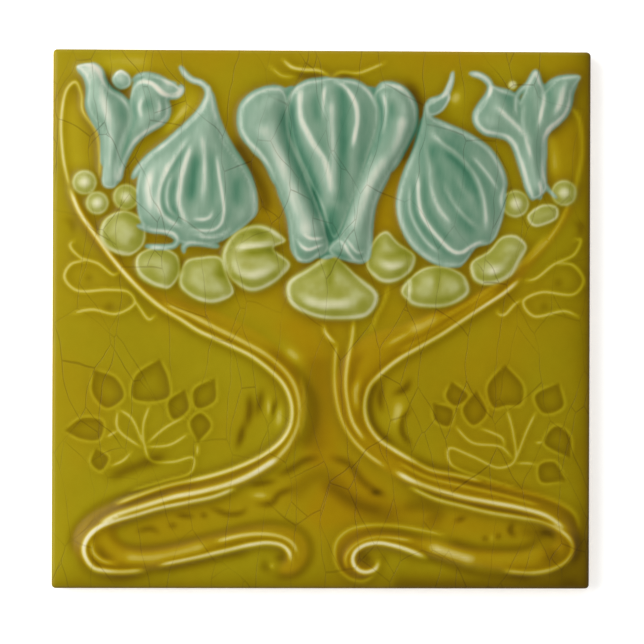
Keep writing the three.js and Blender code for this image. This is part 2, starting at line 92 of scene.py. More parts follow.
middleFlower = {
    "rim": 0.48,
    "painted": [
        [
            (-14, 60), (-9, 66), (-4, 60), (4, 56), (10, 60), (13, 66), (18, 62), (14, 46), (11, 34),
            (7, 24), (3, 17.6), (-1, 17.6), (-4, 24), (-8, 34), (-13, 46)],
    ],
    "mounds": [
        (1.9, 3.4, [
            (-9.8, 62.5), (-7.4, 66), (-1.6, 67.7), (2.6, 68.4), (9.5, 67), (14.2, 63.8), (15.8, 58.5),
            (13.4, 48), (8.5, 34), (3.4, 23), (-0.6, 33), (-7.2, 47), (-9.6, 57)]),
        (2.3, 3.6, [
            (-6.6, 16.4), (-8.2, 21), (-9.4, 28.5), (-12.4, 37), (-16.1, 43.6), (-20.8, 48.6),
            (-23.4, 54.5), (-22.5, 61), (-18.6, 64.4), (-12.4, 65.4), (-10.6, 63.6), (-10, 60), (-9.8, 55),
            (-8.4, 50), (-5.2, 42), (-1.6, 33), (0.9, 25), (1.4, 19.4)]),
        (2.3, 3.6, [
            (1.8, 19.4), (5.2, 24), (8.2, 32), (11, 40), (13.6, 47), (15.4, 53), (15.8, 58.5), (14.7, 64.2),
            (18.9, 66.7), (22.6, 66.2), (25.6, 63), (26.6, 57.6), (24.8, 51), (20.4, 43.6), (15.8, 35),
            (13.9, 27), (13.6, 20), (11, 16.2)]),
    ],
    "folds": [
        (0.45, 0.7, 0.8, [
            (-10.6, 64.8), (-12.5, 65.2), (-16, 65), (-19.8, 63.3), (-22.6, 60.4), (-23.3, 57),
            (-22.9, 53.5), (-21.3, 50.6), (-17.8, 47.1), (-15.3, 43.6), (-12.8, 38)]),
        (0.25, 0.7, 0.8, [(-12.8, 38), (-10.3, 32), (-9.1, 28), (-8.6, 24), (-8.1, 20), (-7, 17.5)]),
        (0.35, 2.6, 2.6, [(-17, 56), (-13.4, 46.5), (-10, 37.5), (-6.6, 29), (-4.6, 23)]),
        (-0.7, 1.5, 1.3, [(-11.4, 60), (-10.6, 51), (-7.8, 44), (-4.2, 36), (-1, 28)]),
        (-0.3, 2.0, 2.0, [(-14, 62), (-13, 57)]),
        (0.4, 0.45, 0.45, [(-8.4, 21), (-7.4, 18), (-5.5, 16.6), (-3.5, 16.8), (-1.5, 18.3), (0.5, 20)]),
        (-0.4, 0.5, 0.5, [(-7.9, 22), (-6.6, 19.2), (-4.6, 18.2), (-2.4, 19), (0, 20.6)]),
        (0.42, 0.42, 0.42, [(-7.6, 23.4), (-6, 20.8), (-4, 19.7), (-1.5, 20.5), (0.8, 21.4)]),
        (-0.35, 0.5, 0.5, [(-6.8, 24), (-5.2, 22.3), (-3, 21.5), (-0.6, 21.9)]),
        (0.38, 0.42, 0.42, [(-6.8, 26.2), (-5.2, 24), (-3.4, 22.9), (-0.6, 22.9), (1, 23.4)]),
        (0.4, 0.7, 0.7, [(-9.6, 61), (-9, 63), (-7, 65.5), (-4, 67.2), (-1, 67.6), (2, 68.2)]),
        (0.3, 0.5, 0.5, [(-9.6, 61), (-9.8, 57), (-9.5, 52), (-7.8, 47.5), (-5, 42.5), (-3, 37)]),
        (0.45, 0.9, 1.3, [
            (-6.2, 66), (-6.5, 60), (-6, 56.5), (-4, 52.5), (-2, 49), (0.5, 45.5), (2, 41), (3, 35)]),
        (-0.8, 1.2, 1.4, [(-8.4, 62), (-8.5, 56), (-6.8, 50), (-4.4, 45), (-2.6, 40), (-1, 33)]),
        (-0.6, 1.4, 1.4, [(-2.2, 65), (-2, 61), (-1.2, 55)]),
        (0.35, 0.6, 0.6, [(0.8, 67), (0.2, 62), (0.4, 56)]),
        (-0.78, 2.0, 1.8, [(4.6, 66.4), (5.8, 60), (6, 55), (6, 50), (5.8, 45), (5, 39), (4.2, 32)]),
        (0.4, 1.4, 1.4, [(2.2, 62), (2.6, 54), (3, 47), (3.2, 40), (3.4, 34)]),
        (0.5, 0.7, 0.7, [(3, 67.8), (6, 66), (8.3, 63), (9.5, 60), (9.8, 56.5), (9.4, 53.5), (8.4, 49)]),
        (-0.4, 1.4, 1.4, [(11.8, 63), (12.2, 57), (11.4, 50), (9.6, 43)]),
        (0.45, 0.6, 0.7, [
            (4, 67.6), (9, 67.2), (12, 65.5), (14, 63), (15.4, 59.5), (15.3, 56), (14.4, 50.5),
            (12.4, 46)]),
        (-0.75, 0.6, 0.6, [(14.5, 64.9), (16.1, 61), (16.6, 57), (15.9, 52.5), (13.5, 46.6)]),
        (0.45, 0.7, 0.8, [
            (15.2, 65), (17, 66.5), (20, 66.5), (23.3, 64.8), (25.7, 61.4), (26.3, 58), (25.7, 54),
            (24.2, 50.6), (21.7, 46), (19.2, 42)]),
        (0.25, 0.7, 0.8, [
            (19.2, 42), (16.7, 37.5), (14.8, 33), (13.9, 28), (13.5, 22), (12.8, 18.5), (10.5, 16.5)]),
        (0.4, 0.6, 0.6, [(17, 64), (17.8, 60), (17.6, 56), (16.8, 52)]),
        (-0.6, 1.5, 1.5, [(19.6, 63), (19.6, 58), (18.8, 51), (16.4, 45)]),
        (0.4, 2.6, 2.6, [(22.6, 58), (20.4, 50.5), (15.6, 43), (11.8, 36.6), (9.3, 30), (7.8, 25)]),
        (-0.9, 2.0, 2.0, [(3.4, 33), (2.8, 28), (2.1, 22)]),
        (0.4, 0.5, 0.6, [
            (1.6, 19.6), (3.3, 21.6), (4.6, 22.4), (6, 21.6), (7.2, 19.5), (8.7, 17.5), (10.5, 16.5),
            (12.6, 17.3), (13.6, 19.5)]),
        (-0.6, 1.2, 1.2, [(3.3, 18.9), (5.2, 17.6), (7, 16.3)]),
        (0.35, 0.45, 0.45, [(5, 23.6), (6.8, 22.6), (8.4, 20.4), (10, 18.9), (12.4, 19.4)]),
        (-0.4, 0.5, 0.5, [(5.4, 22.4), (7.4, 20.6), (8.8, 18.6), (10.4, 17.6), (12.4, 18.2)]),
    ],
}

rightTrumpet = {
    "rim": 0.46,
    "mounds": [
        (1.8, 3.0, [
            (57.8, 40), (54.6, 48), (51.2, 52), (45.6, 53), (43.5, 57.6), (46.2, 61.7), (47.4, 66.6),
            (48.4, 66.4), (51.4, 64.8), (55, 63.6), (56.4, 60.6), (58.4, 56), (60, 49), (61, 41)]),
        (2.2, 2.8, [
            (59.6, 34.4), (57.7, 39.6), (55.6, 46), (56.6, 53), (59.6, 58.6), (62.9, 64.6), (67.5, 68.8),
            (73.3, 69.2), (70.9, 65.4), (70.3, 60.5), (67.5, 55.9), (63.3, 51.7), (62.7, 44.1),
            (63.4, 36.8)]),
        (2.0, 2.8, [
            (56, 48), (54.8, 54), (55.4, 60), (57.6, 65.4), (60.3, 70.6), (60.8, 70.6), (62.6, 65.4),
            (64.6, 60), (62.8, 54), (62, 48)]),
    ],
    "folds": [
        (0.5, 0.6, 0.8, [
            (41.7, 70), (44.5, 69.5), (47, 67.8), (47.8, 66), (47.2, 64), (45, 61), (43.6, 58.5),
            (43.6, 56.5), (44.7, 54.6), (46.6, 53.3), (50, 52.7), (52.6, 51.8), (54.2, 50.2), (55.7, 46.6),
            (57.2, 42), (58.7, 37), (59.9, 34.2)]),
        (0.4, 0.6, 0.6, [(48.5, 66), (50, 65.3), (53, 64.5), (54.6, 63.7)]),
        (0.45, 0.6, 0.6, [
            (54.8, 58), (54.9, 63), (56, 65), (58.3, 67), (60.4, 70.4), (61.5, 67.5), (62.5, 65.4),
            (62.6, 62), (62, 59), (61, 55)]),
        (0.4, 0.6, 0.6, [(62.8, 65.2), (64.5, 67.3), (67, 68.6), (70, 69), (73, 69.2)]),
        (0.45, 0.7, 0.7, [
            (72, 67.5), (70.6, 65), (70, 61.5), (68.9, 58.6), (66.7, 56.3), (64.3, 54.3), (63, 52),
            (62.8, 47), (62.6, 42), (63.1, 38.5)]),
        (-0.5, 1.3, 1.3, [(50.6, 63.6), (53, 62.2), (54.2, 59.6)]),
        (0.35, 0.8, 0.8, [(49, 60.6), (52, 57.8), (55, 55), (58.5, 51)]),
        (-0.3, 1.2, 1.2, [(47, 60), (48, 56)]),
        (0.3, 0.6, 0.6, [(57, 62), (56.6, 57), (57.4, 52), (59, 46)]),
        (-0.35, 0.9, 0.9, [(59, 65), (59.4, 58), (60.2, 51), (60.6, 44), (61.2, 38)]),
        (-0.5, 1.2, 1.2, [(64.6, 65.2), (64.8, 60.4), (63.6, 56)]),
        (0.3, 0.9, 0.9, [(68.4, 66.8), (67.4, 62), (65.4, 58)]),
        (-0.4, 0.6, 0.6, [(60.6, 38.6), (60.8, 34.6)]),
        (0.35, 0.4, 0.4, [(61.6, 40), (62, 36.5), (61.8, 33.8)]),
        (0.35, 0.4, 0.4, [(62.6, 40), (64.4, 36.8), (67, 34.2)]),
    ],
}

leftBud = {
    "rim": 0.4,
    "mounds": [
        (2.3, 6.5, [
            (-32.2, 66.2), (-33.7, 59.9), (-39, 54.1), (-47, 47.8), (-51.6, 41.5), (-52.4, 33),
            (-50.7, 26.7), (-44.5, 24), (-39, 21.4), (-30, 21.6), (-24, 25), (-19.5, 29), (-18.8, 34),
            (-22.2, 42.3), (-28.2, 50.9), (-30.3, 59)]),
    ],
    "folds": [
        (0.45, 0.7, 0.6, [
            (-40.5, 71.5), (-39, 69.3), (-37, 67.6), (-34.5, 66.8), (-33, 65.5), (-32.6, 63.5), (-33.5, 61),
            (-35.5, 58), (-39, 54.5), (-44, 50), (-49, 46), (-52.5, 42), (-53.8, 39.5)]),
        (0.3, 0.8, 0.8, [
            (-31.6, 64.5), (-31, 61), (-30.1, 57.5), (-28.3, 53), (-25.8, 48.5), (-22.8, 44), (-20.6, 40),
            (-19.3, 35), (-19.1, 31), (-19.8, 28.5)]),
        (0.35, 0.6, 1.1, [
            (-38, 51), (-41.2, 46), (-43.7, 42), (-45.7, 37), (-46.2, 33), (-45.2, 30), (-42.5, 27.5),
            (-39.5, 26)]),
        (-0.6, 0.8, 0.7, [(-39, 48.6), (-42, 43), (-44.3, 38.6), (-45, 34), (-44.4, 30.6), (-41.6, 28)]),
        (0.35, 0.5, 0.6, [(-42.6, 41), (-43.8, 37), (-44, 33.5), (-43, 30.5), (-40.8, 28.8)]),
        (-0.7, 1.0, 1.0, [(-41.2, 40.6), (-42.2, 35.6), (-41.6, 30.8), (-39.8, 28)]),
        (0.45, 1.0, 0.8, [(-37.4, 49), (-39.4, 42), (-40.5, 37), (-40.8, 33), (-40, 30), (-38.3, 26.6)]),
        (-1.0, 1.5, 1.3, [(-35.6, 47), (-36.2, 42.6), (-37, 37.6), (-37.4, 32.6)]),
        (0.3, 0.8, 0.8, [(-34, 52), (-33.4, 45), (-33.5, 39), (-34, 34)]),
        (-0.6, 0.8, 0.8, [(-31.7, 48), (-31.2, 42), (-31, 36), (-31.6, 31)]),
        (0.4, 0.45, 0.45, [
            (-30, 46), (-29, 39), (-28.1, 34), (-27.9, 30), (-28.6, 27), (-30.5, 25.3), (-34, 25),
            (-37.5, 25.5)]),
        (-0.4, 0.5, 0.5, [(-29.3, 33), (-30, 29), (-32, 27), (-35, 26.4), (-38, 26.8)]),
        (0.4, 0.5, 0.5, [(-31, 30.4), (-32, 28.6), (-34, 28.1), (-36.4, 28.3)]),
        (-0.8, 2.0, 2.0, [(-24.4, 41), (-24.2, 36), (-23.6, 31)]),
        (-0.4, 0.8, 0.8, [(-26.6, 46), (-26.2, 39), (-26, 32), (-26.6, 27)]),
        (0.3, 1.2, 1.2, [(-48.6, 42), (-49.2, 36), (-48.2, 30.6)]),
        (0.35, 0.8, 0.8, [(-37, 24.4), (-33, 23.2), (-29, 23.6), (-25.6, 25.6)]),
        (0.5, 0.6, 0.6, [
            (-52.4, 26.4), (-48.4, 25.1), (-44, 24.6), (-41.8, 23.9), (-40.9, 22.4), (-41.6, 20.9),
            (-45, 20.3), (-50, 20.6)]),
        (0.45, 0.6, 0.6, [(-39, 18.6), (-39.2, 20.4), (-37.8, 21.4), (-34, 21.3), (-29, 20.5)]),
    ],
}

rightBud = {
    "rim": 0.44,
    "mounds": [
        (2.3, 6.5, [
            (29.4, 61.6), (31.3, 57), (38.9, 53.4), (45.9, 49.1), (50.6, 43.3), (52, 37.5), (50.9, 28),
            (48, 22), (43.8, 20.6), (39.5, 15.6), (33, 15.6), (26.6, 19.6), (22.4, 25.9), (21.2, 32.7),
            (23.7, 42), (27.6, 53.3)]),
        (0.9, 2.2, [
            (37.2, 71), (35.8, 66), (36, 62.6), (33.4, 58.8), (30.4, 58), (29.6, 60.6), (33.2, 63)]),
    ],
    "folds": [
        (0.45, 0.6, 0.6, [
            (37, 70.5), (36.3, 67), (35.3, 64.5), (33, 62.8), (30.5, 62), (29.6, 60), (29.8, 57.8),
            (31, 56.8)]),
        (0.45, 0.6, 0.7, [
            (31, 57), (35, 55.1), (39, 53.4), (43, 51.3), (47, 48.4), (49.3, 45.3), (50.9, 42),
            (51.7, 38.5), (50.8, 35), (51, 31)]),
        (0.3, 0.8, 0.7, [
            (29.4, 59), (28.8, 57), (27.9, 54), (26.2, 48), (23.7, 42), (22.2, 37), (21.7, 32), (22.7, 27),
            (25.2, 22), (28.2, 19), (32, 16.6), (36, 15.6), (40, 15.6)]),
        (0.35, 0.5, 1.0, [
            (31, 53), (34, 50), (37.5, 47.5), (41, 44), (43.5, 40.5), (45.3, 36), (46.2, 31), (46.5, 26)]),
        (-0.55, 0.8, 0.6, [(34, 47.6), (38, 44.8), (41.4, 40.8), (43.6, 36), (44.8, 31), (45.4, 26)]),
        (0.3, 0.5, 0.5, [(42, 46.6), (45, 43.4), (48, 39.6), (50, 36.4)]),
        (-0.3, 1.0, 1.0, [(42.6, 44), (46, 39), (48.2, 33), (48.6, 27)]),
        (0.35, 0.6, 0.7, [(34.4, 39), (35.5, 36), (37.5, 32.5), (41, 28.6), (44, 26)]),
        (0.25, 0.8, 0.8, [(37.6, 41.4), (39.4, 37.6), (42, 34)]),
        (-0.5, 1.0, 1.0, [(33, 46), (33.6, 40), (35.4, 34.6), (39, 30)]),
        (0.5, 0.6, 0.6, [
            (27, 41), (27.2, 34), (28, 30), (30.5, 26), (33.5, 22.5), (36, 20), (38, 19), (40, 19.3),
            (42.5, 21), (45, 22), (46.6, 22)]),
        (-0.6, 0.8, 0.8, [(29, 40), (29.3, 33), (31.5, 28.4), (34.8, 24), (37.6, 21.4)]),
        (0.35, 0.5, 0.5, [(24.8, 38), (24.8, 31), (26.5, 26.5), (29.5, 22), (33, 19)]),
        (-0.6, 0.6, 0.6, [
            (25.8, 40), (25.7, 33), (27.1, 28), (30, 24), (33.2, 20.8), (36, 18.5), (39, 17.6)]),
        (-0.4, 0.6, 0.6, [(23.6, 36), (23.9, 30.6), (25.8, 26), (28.8, 21.8), (31.4, 19)]),
        (0.3, 0.7, 0.7, [(29, 50), (30.2, 43), (30.8, 37), (33, 31.4), (36.6, 27)]),
        (-0.55, 3.0, 3.0, [(38, 31), (41.6, 26.4), (44.6, 24.6)]),
        (-0.35, 1.6, 1.6, [(31, 50.6), (31.4, 44)]),
    ],
}

leaves = {
    "rim": 0.5,
    "moat": 0.2,
    "mounds": [
        (1.7, 3.6, [
            (-38.5, 16.4), (-40.2, 9.6), (-35.6, 5.6), (-30.3, 4.7), (-25, 7.4), (-27, 13), (-29, 17.6),
            (-34, 17.6)]),
        (1.7, 3.4, [
            (-52.1, 18), (-52.5, 14), (-48, 10.1), (-43.5, 8.6), (-40.4, 12.4), (-41, 18), (-46.7, 20.3)]),
        (1.8, 4.0, [
            (-56.4, 30.6), (-61.6, 28), (-62.9, 23.4), (-59.8, 19.2), (-54.5, 17.9), (-50.6, 20.8),
            (-50, 25.6), (-52, 29)]),
        (1.9, 3.8, [
            (-10.2, 22.2), (-14.5, 25.6), (-19, 26.6), (-24.8, 24.3), (-28.2, 18), (-25.8, 11.4), (-20, 8),
            (-13, 10.8), (-9, 15.6), (-13.7, 20.2)]),
        (1.9, 3.8, [
            (2.2, 18.3), (-3.5, 14.6), (-9.8, 10.1), (-9, 4.6), (-2.2, 0.9), (5.3, 0.1), (13.2, 1.4),
            (15.9, 6.7), (9.7, 12.7)]),
        (1.7, 3.2, [
            (15, 23), (18.2, 25.1), (21.4, 22), (26.4, 18), (25.4, 14), (21, 10.9), (16.8, 10.8),
            (12.6, 15)]),
        (1.7, 3.2, [
            (22.4, 8), (24.5, 11.4), (28.9, 14.7), (35, 15.1), (40.4, 12.4), (41.7, 8), (37, 4.4),
            (31.6, 3.5), (25, 4.9)]),
        (1.7, 3.2, [
            (42.2, 16.2), (47.2, 19.6), (50.9, 23.6), (55, 24), (58.1, 20.9), (55.4, 15.6), (53.5, 12.3),
            (46.4, 9.9), (42.8, 12)]),
        (1.4, 2.6, [(58.1, 29.4), (59.8, 26.7), (63.3, 27.1), (66.9, 29.3), (66.6, 32.2), (62.4, 32.8)]),
    ],
    "folds": [
        (0.3, 0.6, 0.6, [(-38.8, 15), (-39.9, 9.8), (-35.5, 6.1), (-30.4, 5.2), (-26.6, 6.6)]),
        (0.35, 0.6, 0.6, [(-52.2, 15), (-51.4, 12.4), (-47.6, 9.9), (-43.6, 9.1)]),
        (0.35, 0.6, 0.6, [(-61, 28.2), (-62.4, 23.6), (-59.5, 19.7), (-54.5, 18.4)]),
        (0.35, 0.6, 0.7, [
            (-10.8, 22.2), (-14.5, 25.1), (-19, 26.1), (-24.4, 24), (-27.7, 18), (-25.4, 11.8)]),
        (0.3, 0.6, 0.7, [(-25.4, 11.8), (-20, 8.5), (-13.4, 11.1), (-9.6, 15.6)]),
        (-0.7, 1.6, 1.6, [(-21, 25), (-17.4, 24.2), (-14, 23.4)]),
        (-0.6, 0.6, 1.0, [(-22.6, 18.6), (-17, 19.3), (-12, 19.9)]),
        (0.35, 1.2, 0.6, [(-25, 20), (-19, 20.6), (-13, 21.2)]),
        (0.3, 1.4, 1.4, [(-26, 17), (-24, 13.5), (-20, 12.5), (-14, 14)]),
        (-0.25, 1.0, 1.0, [(-24.6, 11), (-19.6, 10), (-14.6, 12)]),
        (0.35, 0.6, 0.7, [
            (2.2, 17.6), (-3.5, 14.1), (-9.2, 10), (-8.5, 5), (-2.1, 1.4), (5.3, 0.6), (12.8, 1.8),
            (15.3, 6.7), (9.5, 12.2)]),
        (-0.7, 0.9, 0.9, [(2.2, 17.4), (2.3, 13), (1.8, 8.6)]),
        (0.4, 1.6, 1.6, [(-5.6, 5.6), (0, 4.2), (8.6, 4.8)]),
        (-0.5, 1.6, 1.6, [(13, 6), (9.6, 2.8)]),
        (-0.35, 1.5, 1.5, [(-7.4, 9.4), (-4.4, 8.4)]),
        (0.35, 0.6, 0.6, [(12.6, 15), (16.8, 11.3), (21, 11.4), (25, 14.3), (26, 18)]),
        (-0.55, 0.7, 0.9, [(15.6, 18.6), (20, 18.3), (24.6, 19.6)]),
        (0.3, 1.0, 1.0, [(16.8, 16), (20, 15), (23.4, 15.8)]),
        (0.35, 0.6, 0.6, [
            (22.8, 8.6), (24.8, 11.2), (25, 5.3), (31.6, 4), (36.9, 4.9), (41.2, 8), (40, 12.2)]),
        (-0.6, 0.8, 0.8, [(33.2, 14), (32.6, 10.6), (32.4, 7.6)]),
        (-0.4, 1.4, 1.4, [(25.4, 9.8), (28, 11.8)]),
        (0.35, 0.6, 0.6, [(42.6, 15), (43.2, 11.9), (46.5, 10.5), (53, 12.8), (55, 15.8), (57.6, 20.4)]),
        (-0.35, 1.0, 1.0, [(46, 17.8), (50.6, 17.4), (53.4, 19.6)]),
        (0.3, 1.2, 1.2, [(46.6, 13.6), (51, 14.4)]),
        (-0.35, 1.3, 1.3, [(-55, 21.4), (-52.4, 22.6)]),
        (-0.5, 1.3, 1.3, [(-30, 13.6), (-27.8, 11.6)]),
        (-0.3, 1.2, 1.2, [(-49.4, 15.6), (-47.6, 12)]),
        (-0.4, 1.0, 1.0, [(-40.4, 16.6), (-39.8, 13)]),
    ],
}

berries = {
    # x and y of the middle, then the half width
    "places": [
        (-67.2, 38.5, 3.5), (-63.6, 32.7, 3.3), (-55.5, 34.4, 3.7),
        (54.8, 33, 3.9), (68.6, 36.1, 3.7), (53.9, 66.6, 1.3),
    ],
    "rise": 1.6,
    "rim": 0.4,
    "moat": 0.22,
    # a low dome over each berry's middle, where the glaze thins: partly the dome's own paleness, partly a
    # painted highlight
    "dome": 0.34,
    "domeShare": 0.55,       # the dome's width, as a share of the half width
    "points": 8,             # that the outline is drawn through
}

stems = {
    "mounds": [
        (0.6, 3.0, [
            (-69.8, 34.9), (-64.8, 26.2), (-58.6, 18.2), (-50.9, 10.4), (-38.5, 4.6), (-26.4, 0.8),
            (-13.8, -6.6), (-7.1, -13.8), (-4.5, -22), (-4.9, -28.8), (-9, -38.8), (-18, -44.8), (-31, -50),
            (-44, -53.4), (-53.4, -56.6), (-57, -58.6), (-57.8, -60.4), (-57.2, -62), (-55.8, -63.4),
            (-52.6, -64.1), (-45, -64), (-34, -61.4), (-20.6, -58), (-9.6, -58.8), (-4.4, -62.4),
            (-3.8, -67.4), (-7.6, -72.4), (-12, -71.6), (-10.2, -67.6), (-10.6, -65.2), (-13.4, -63.6),
            (-21, -64.4), (-33, -67.2), (-46, -70.4), (-58.4, -72.2), (-66.4, -69.8), (-70.2, -64.4),
            (-69.3, -59), (-64.4, -54.4), (-56, -51), (-45, -47.6), (-32, -44.8), (-20.5, -40.6),
            (-13.2, -35.8), (-8.3, -28.5), (-8.9, -22), (-12.7, -15.8), (-19.5, -10.5), (-31, -5),
            (-42.3, 1.3), (-52.5, 9), (-60.2, 16.9), (-66.7, 25.2), (-70.8, 34.6)]),
        (0.6, 3.0, [
            (71, 32), (66, 23), (58, 13.6), (50.6, 6.2), (40.6, 0.4), (28.4, -7.1), (18.4, -13.4),
            (12.8, -20), (11.7, -25.8), (16.8, -33.7), (26, -40), (38, -44), (50, -46.4), (62, -49.4),
            (70, -53.4), (73.2, -60), (72.8, -66), (68.4, -70), (59, -72.2), (46.7, -70), (34, -67.6),
            (24, -65.4), (15, -64.2), (11.4, -65.6), (10.6, -67.8), (12.6, -69.2), (15.8, -70), (12.4, -73),
            (7.2, -72.4), (4.2, -67.8), (5.4, -62.6), (11.6, -58.6), (22.4, -59.8), (34, -62.6),
            (46, -64.6), (57.6, -65), (63.6, -64.2), (66, -62.8), (66.2, -60.8), (63.6, -58.4),
            (57.6, -56.2), (48, -54.2), (34.8, -50.6), (20.6, -44.6), (9.4, -35.6), (4.2, -25), (4, -15.8),
            (11.2, -5.4), (24.6, -0.4), (37.6, 4.8), (47.6, 10.1), (55.3, 16.3), (64.6, 24.6), (70.2, 33)]),
    ],
    "folds": [
        # the left stem, from its tip beside the flowers down to its curl
        (0.7, 0.6, 0.7, [
            (-71.4, 37), (-68.5, 30), (-65, 25), (-60, 18), (-55, 12), (-50, 7), (-45, 3), (-40, 0),
            (-35, -3.2), (-30, -5.5), (-25, -7.8), (-20, -10.3), (-15, -14), (-11, -18), (-9, -22),
            (-8.3, -26), (-8.8, -30), (-11, -34), (-15, -37.5), (-19, -39.8), (-24, -42), (-30, -44),
            (-36, -45.5), (-44, -47.3), (-52, -50), (-58, -52.4)]),
        (0.4, 0.7, 0.9, [
            (-45, 4.5), (-38, 1.5), (-30, -2.5), (-22, -6.5), (-15, -10.5), (-10, -15), (-7.5, -19),
            (-6.3, -24), (-6.5, -29), (-9, -35), (-14, -41)]),
        (0.75, 1.1, 1.1, [
            (-12, -39), (-20, -44), (-26, -46.6), (-34, -48.8), (-42, -50.4), (-50, -52.8), (-58, -55.5),
            (-63, -58.5)]),
        (0.8, 0.7, 0.8, [
            (-24, -47.6), (-30, -50), (-38, -51.8), (-46, -53.5), (-52, -55.3), (-58, -57), (-63, -59),
            (-66, -62), (-67, -65), (-66.2, -68), (-64, -70.5), (-62, -71), (-57, -71.5), (-50, -71)]),
        (0.25, 0.6, 0.6, [(-6, -16), (-4.9, -22), (-4.9, -27), (-6.2, -33)]),
        (-0.35, 1.4, 2.2, [(-15, -8), (-8, -14), (-3.6, -19), (-1.6, -25), (-2.2, -31), (-5.6, -37)]),
        (-0.36, 1.4, 1.0, [
            (-36, -45.8), (-50, -48.3), (-62, -52.3), (-68, -57), (-70.6, -61.6), (-70.2, -66)]),
        (-0.35, 1.0, 1.0, [(-42, -48.6), (-52, -51.4), (-61, -55), (-66.4, -59)]),
        (0.4, 0.7, 0.7, [(-65, -62), (-64.4, -66), (-61.6, -68.4), (-58, -69.2)]),
        (-0.5, 1.1, 1.1, [(-62.6, -64), (-61.6, -66.6), (-59, -67.8)]),
        (0.35, 1.8, 1.8, [(-56, -67.4), (-50, -67.6), (-42, -66.6), (-32, -64)]),
        (-0.42, 0.8, 1.2, [
            (-58.2, -58.5), (-58.8, -61), (-56, -63.6), (-50, -64.6), (-42, -63.5), (-36, -62), (-28, -60),
            (-20, -58), (-14, -57.3), (-8, -58.2), (-4, -61), (-2.6, -64.5), (-3, -68), (-5.8, -71.8),
            (-10, -73), (-13.5, -72.2)]),
        (0.75, 0.7, 0.7, [
            (-46, -69.6), (-38, -68), (-30, -66.2), (-25, -65), (-20, -63.8), (-15, -63.2), (-11, -64),
            (-9, -66), (-8.6, -68.2)]),
        (0.4, 0.6, 0.8, [(-30, -62.8), (-22, -61), (-16, -60.7), (-11, -61.6), (-8, -63.5), (-6.6, -66.5)]),
        (-0.8, 1.2, 1.2, [(-11.4, -67), (-11.6, -68.2)]),
        (-0.5, 1.0, 1.0, [(-16, -68.2), (-16, -69.8), (-14.6, -71.6)]),
        (0.3, 0.6, 0.6, [(-14.2, -69.4), (-13.6, -70.2)]),
        (-0.3, 1.2, 1.6, [(-60, -72.6), (-50, -71.6), (-40, -69.8), (-30, -67.6), (-20, -65.6)]),
        # the right stem
        (0.7, 0.7, 0.6, [
            (56, 11.5), (52, 8), (46, 4), (40, 0), (34, -4), (28, -7.5), (22, -11), (17, -15), (13.5, -19),
            (12.2, -24), (13, -29), (16, -33.5), (20, -36.5), (25, -39.5), (31, -42.5), (38, -44),
            (46, -45.8)]),
        (0.25, 0.7, 0.6, [(44, -45.3), (54, -48), (62, -49.8), (68, -52), (72, -55), (73.6, -60)]),
        (-0.55, 1.2, 0.7, [(15.6, -16.6), (13.8, -21), (13.5, -26), (15.4, -31.4), (20, -35.4)]),
        (-0.45, 1.6, 0.9, [
            (25, -40.2), (33, -43), (45, -46.7), (55, -48.9), (63, -51.4), (68.6, -54.4), (72, -59),
            (72.4, -64), (71.5, -69)]),
        (0.4, 2.0, 2.0, [(24, -3.4), (29, -1.4), (34, 1.6)]),
        (0.25, 0.8, 0.8, [(18, -7.4), (26, -3), (36, 1.6), (46, 7.6), (56, 15.6), (64, 24)]),
        (0.25, 0.7, 0.7, [(22, -9), (30, -4.6), (40, 1.6), (50, 8.6)]),
        (0.5, 0.5, 0.6, [(0.5, -1.5), (1, -3.5), (2.5, -5.5), (4.2, -6.9)]),
        (0.4, 0.5, 0.6, [
            (4.2, -6.9), (3.8, -12), (3.7, -18), (4.5, -24), (6, -29), (9, -34), (13, -38), (18, -41.6)]),
        (0.45, 0.6, 0.6, [(9, 0), (8.6, -5), (7.3, -12), (6.8, -18), (7.3, -23), (8.8, -29), (12, -34)]),
        (0.4, 1.2, 1.2, [(10.4, -16.6), (9.6, -21), (10.2, -26)]),
        (-0.3, 1.0, 1.0, [(12, -9), (9.4, -13), (8.6, -19)]),
        (0.7, 0.9, 0.9, [
            (21, -43), (26, -45.7), (32, -48), (40, -50.2), (48, -51.7), (56, -53.2), (64, -55.6),
            (69.4, -59.4)]),
        (0.3, 0.5, 0.5, [(22, -40.6), (30, -44.6), (40, -47), (52, -49.8), (62, -52.6)]),
        (0.6, 0.6, 0.7, [
            (25, -47.2), (32, -50.5), (40, -52.6), (48, -54.5), (56, -55.8), (63, -57.2), (68, -59.6),
            (71, -62.6), (71.5, -65), (70, -68), (66, -70.5), (60, -71.7), (52, -71.2)]),
        (-0.3, 0.8, 0.8, [(26, -46.4), (36, -50), (48, -53.1), (58, -55), (66, -58)]),
        (-0.4, 1.4, 1.0, [(28, -67), (35, -69), (42, -71.4), (50, -72.6), (60, -73)]),
        (-0.55, 1.4, 0.8, [(36, -62.8), (44, -64.8), (52, -65.2), (58, -64.6), (62.6, -62)]),
        (0.5, 1.8, 1.8, [(30, -64), (36, -66), (44, -68.6)]),
        (0.8, 0.7, 0.7, [
            (30, -67.4), (24, -65), (20, -63.8), (16, -63.2), (12, -64), (9.5, -66), (9, -68.5),
            (10.5, -70.8), (13, -71.5), (15.5, -70.5), (16.3, -68.5)]),
        (0.35, 0.6, 0.6, [(26, -62.6), (18, -61.6), (13, -62.1), (9, -64.3), (6.9, -67.5), (7.6, -71)]),
        (0.3, 0.5, 0.5, [
            (35, -61), (28, -59.5), (20, -58.3), (13, -58.3), (7.8, -59.6), (4.6, -62.5), (3.8, -66),
            (4.8, -70), (8, -73.2), (12, -74), (16, -71.8)]),
        (-0.5, 0.7, 0.7, [(30, -62), (20, -60), (13, -60.2), (8, -62.4), (5.6, -66), (6, -70), (9, -72.4)]),
        (-0.8, 1.0, 1.0, [(12.2, -67), (13.8, -68.4)]),
        (-0.4, 0.8, 0.8, [(17.6, -66.4), (18, -68.6)]),
        (-0.5, 1.1, 1.3, [(63, -64.8), (66.4, -66.4), (62, -68.4)]),
    ],
}

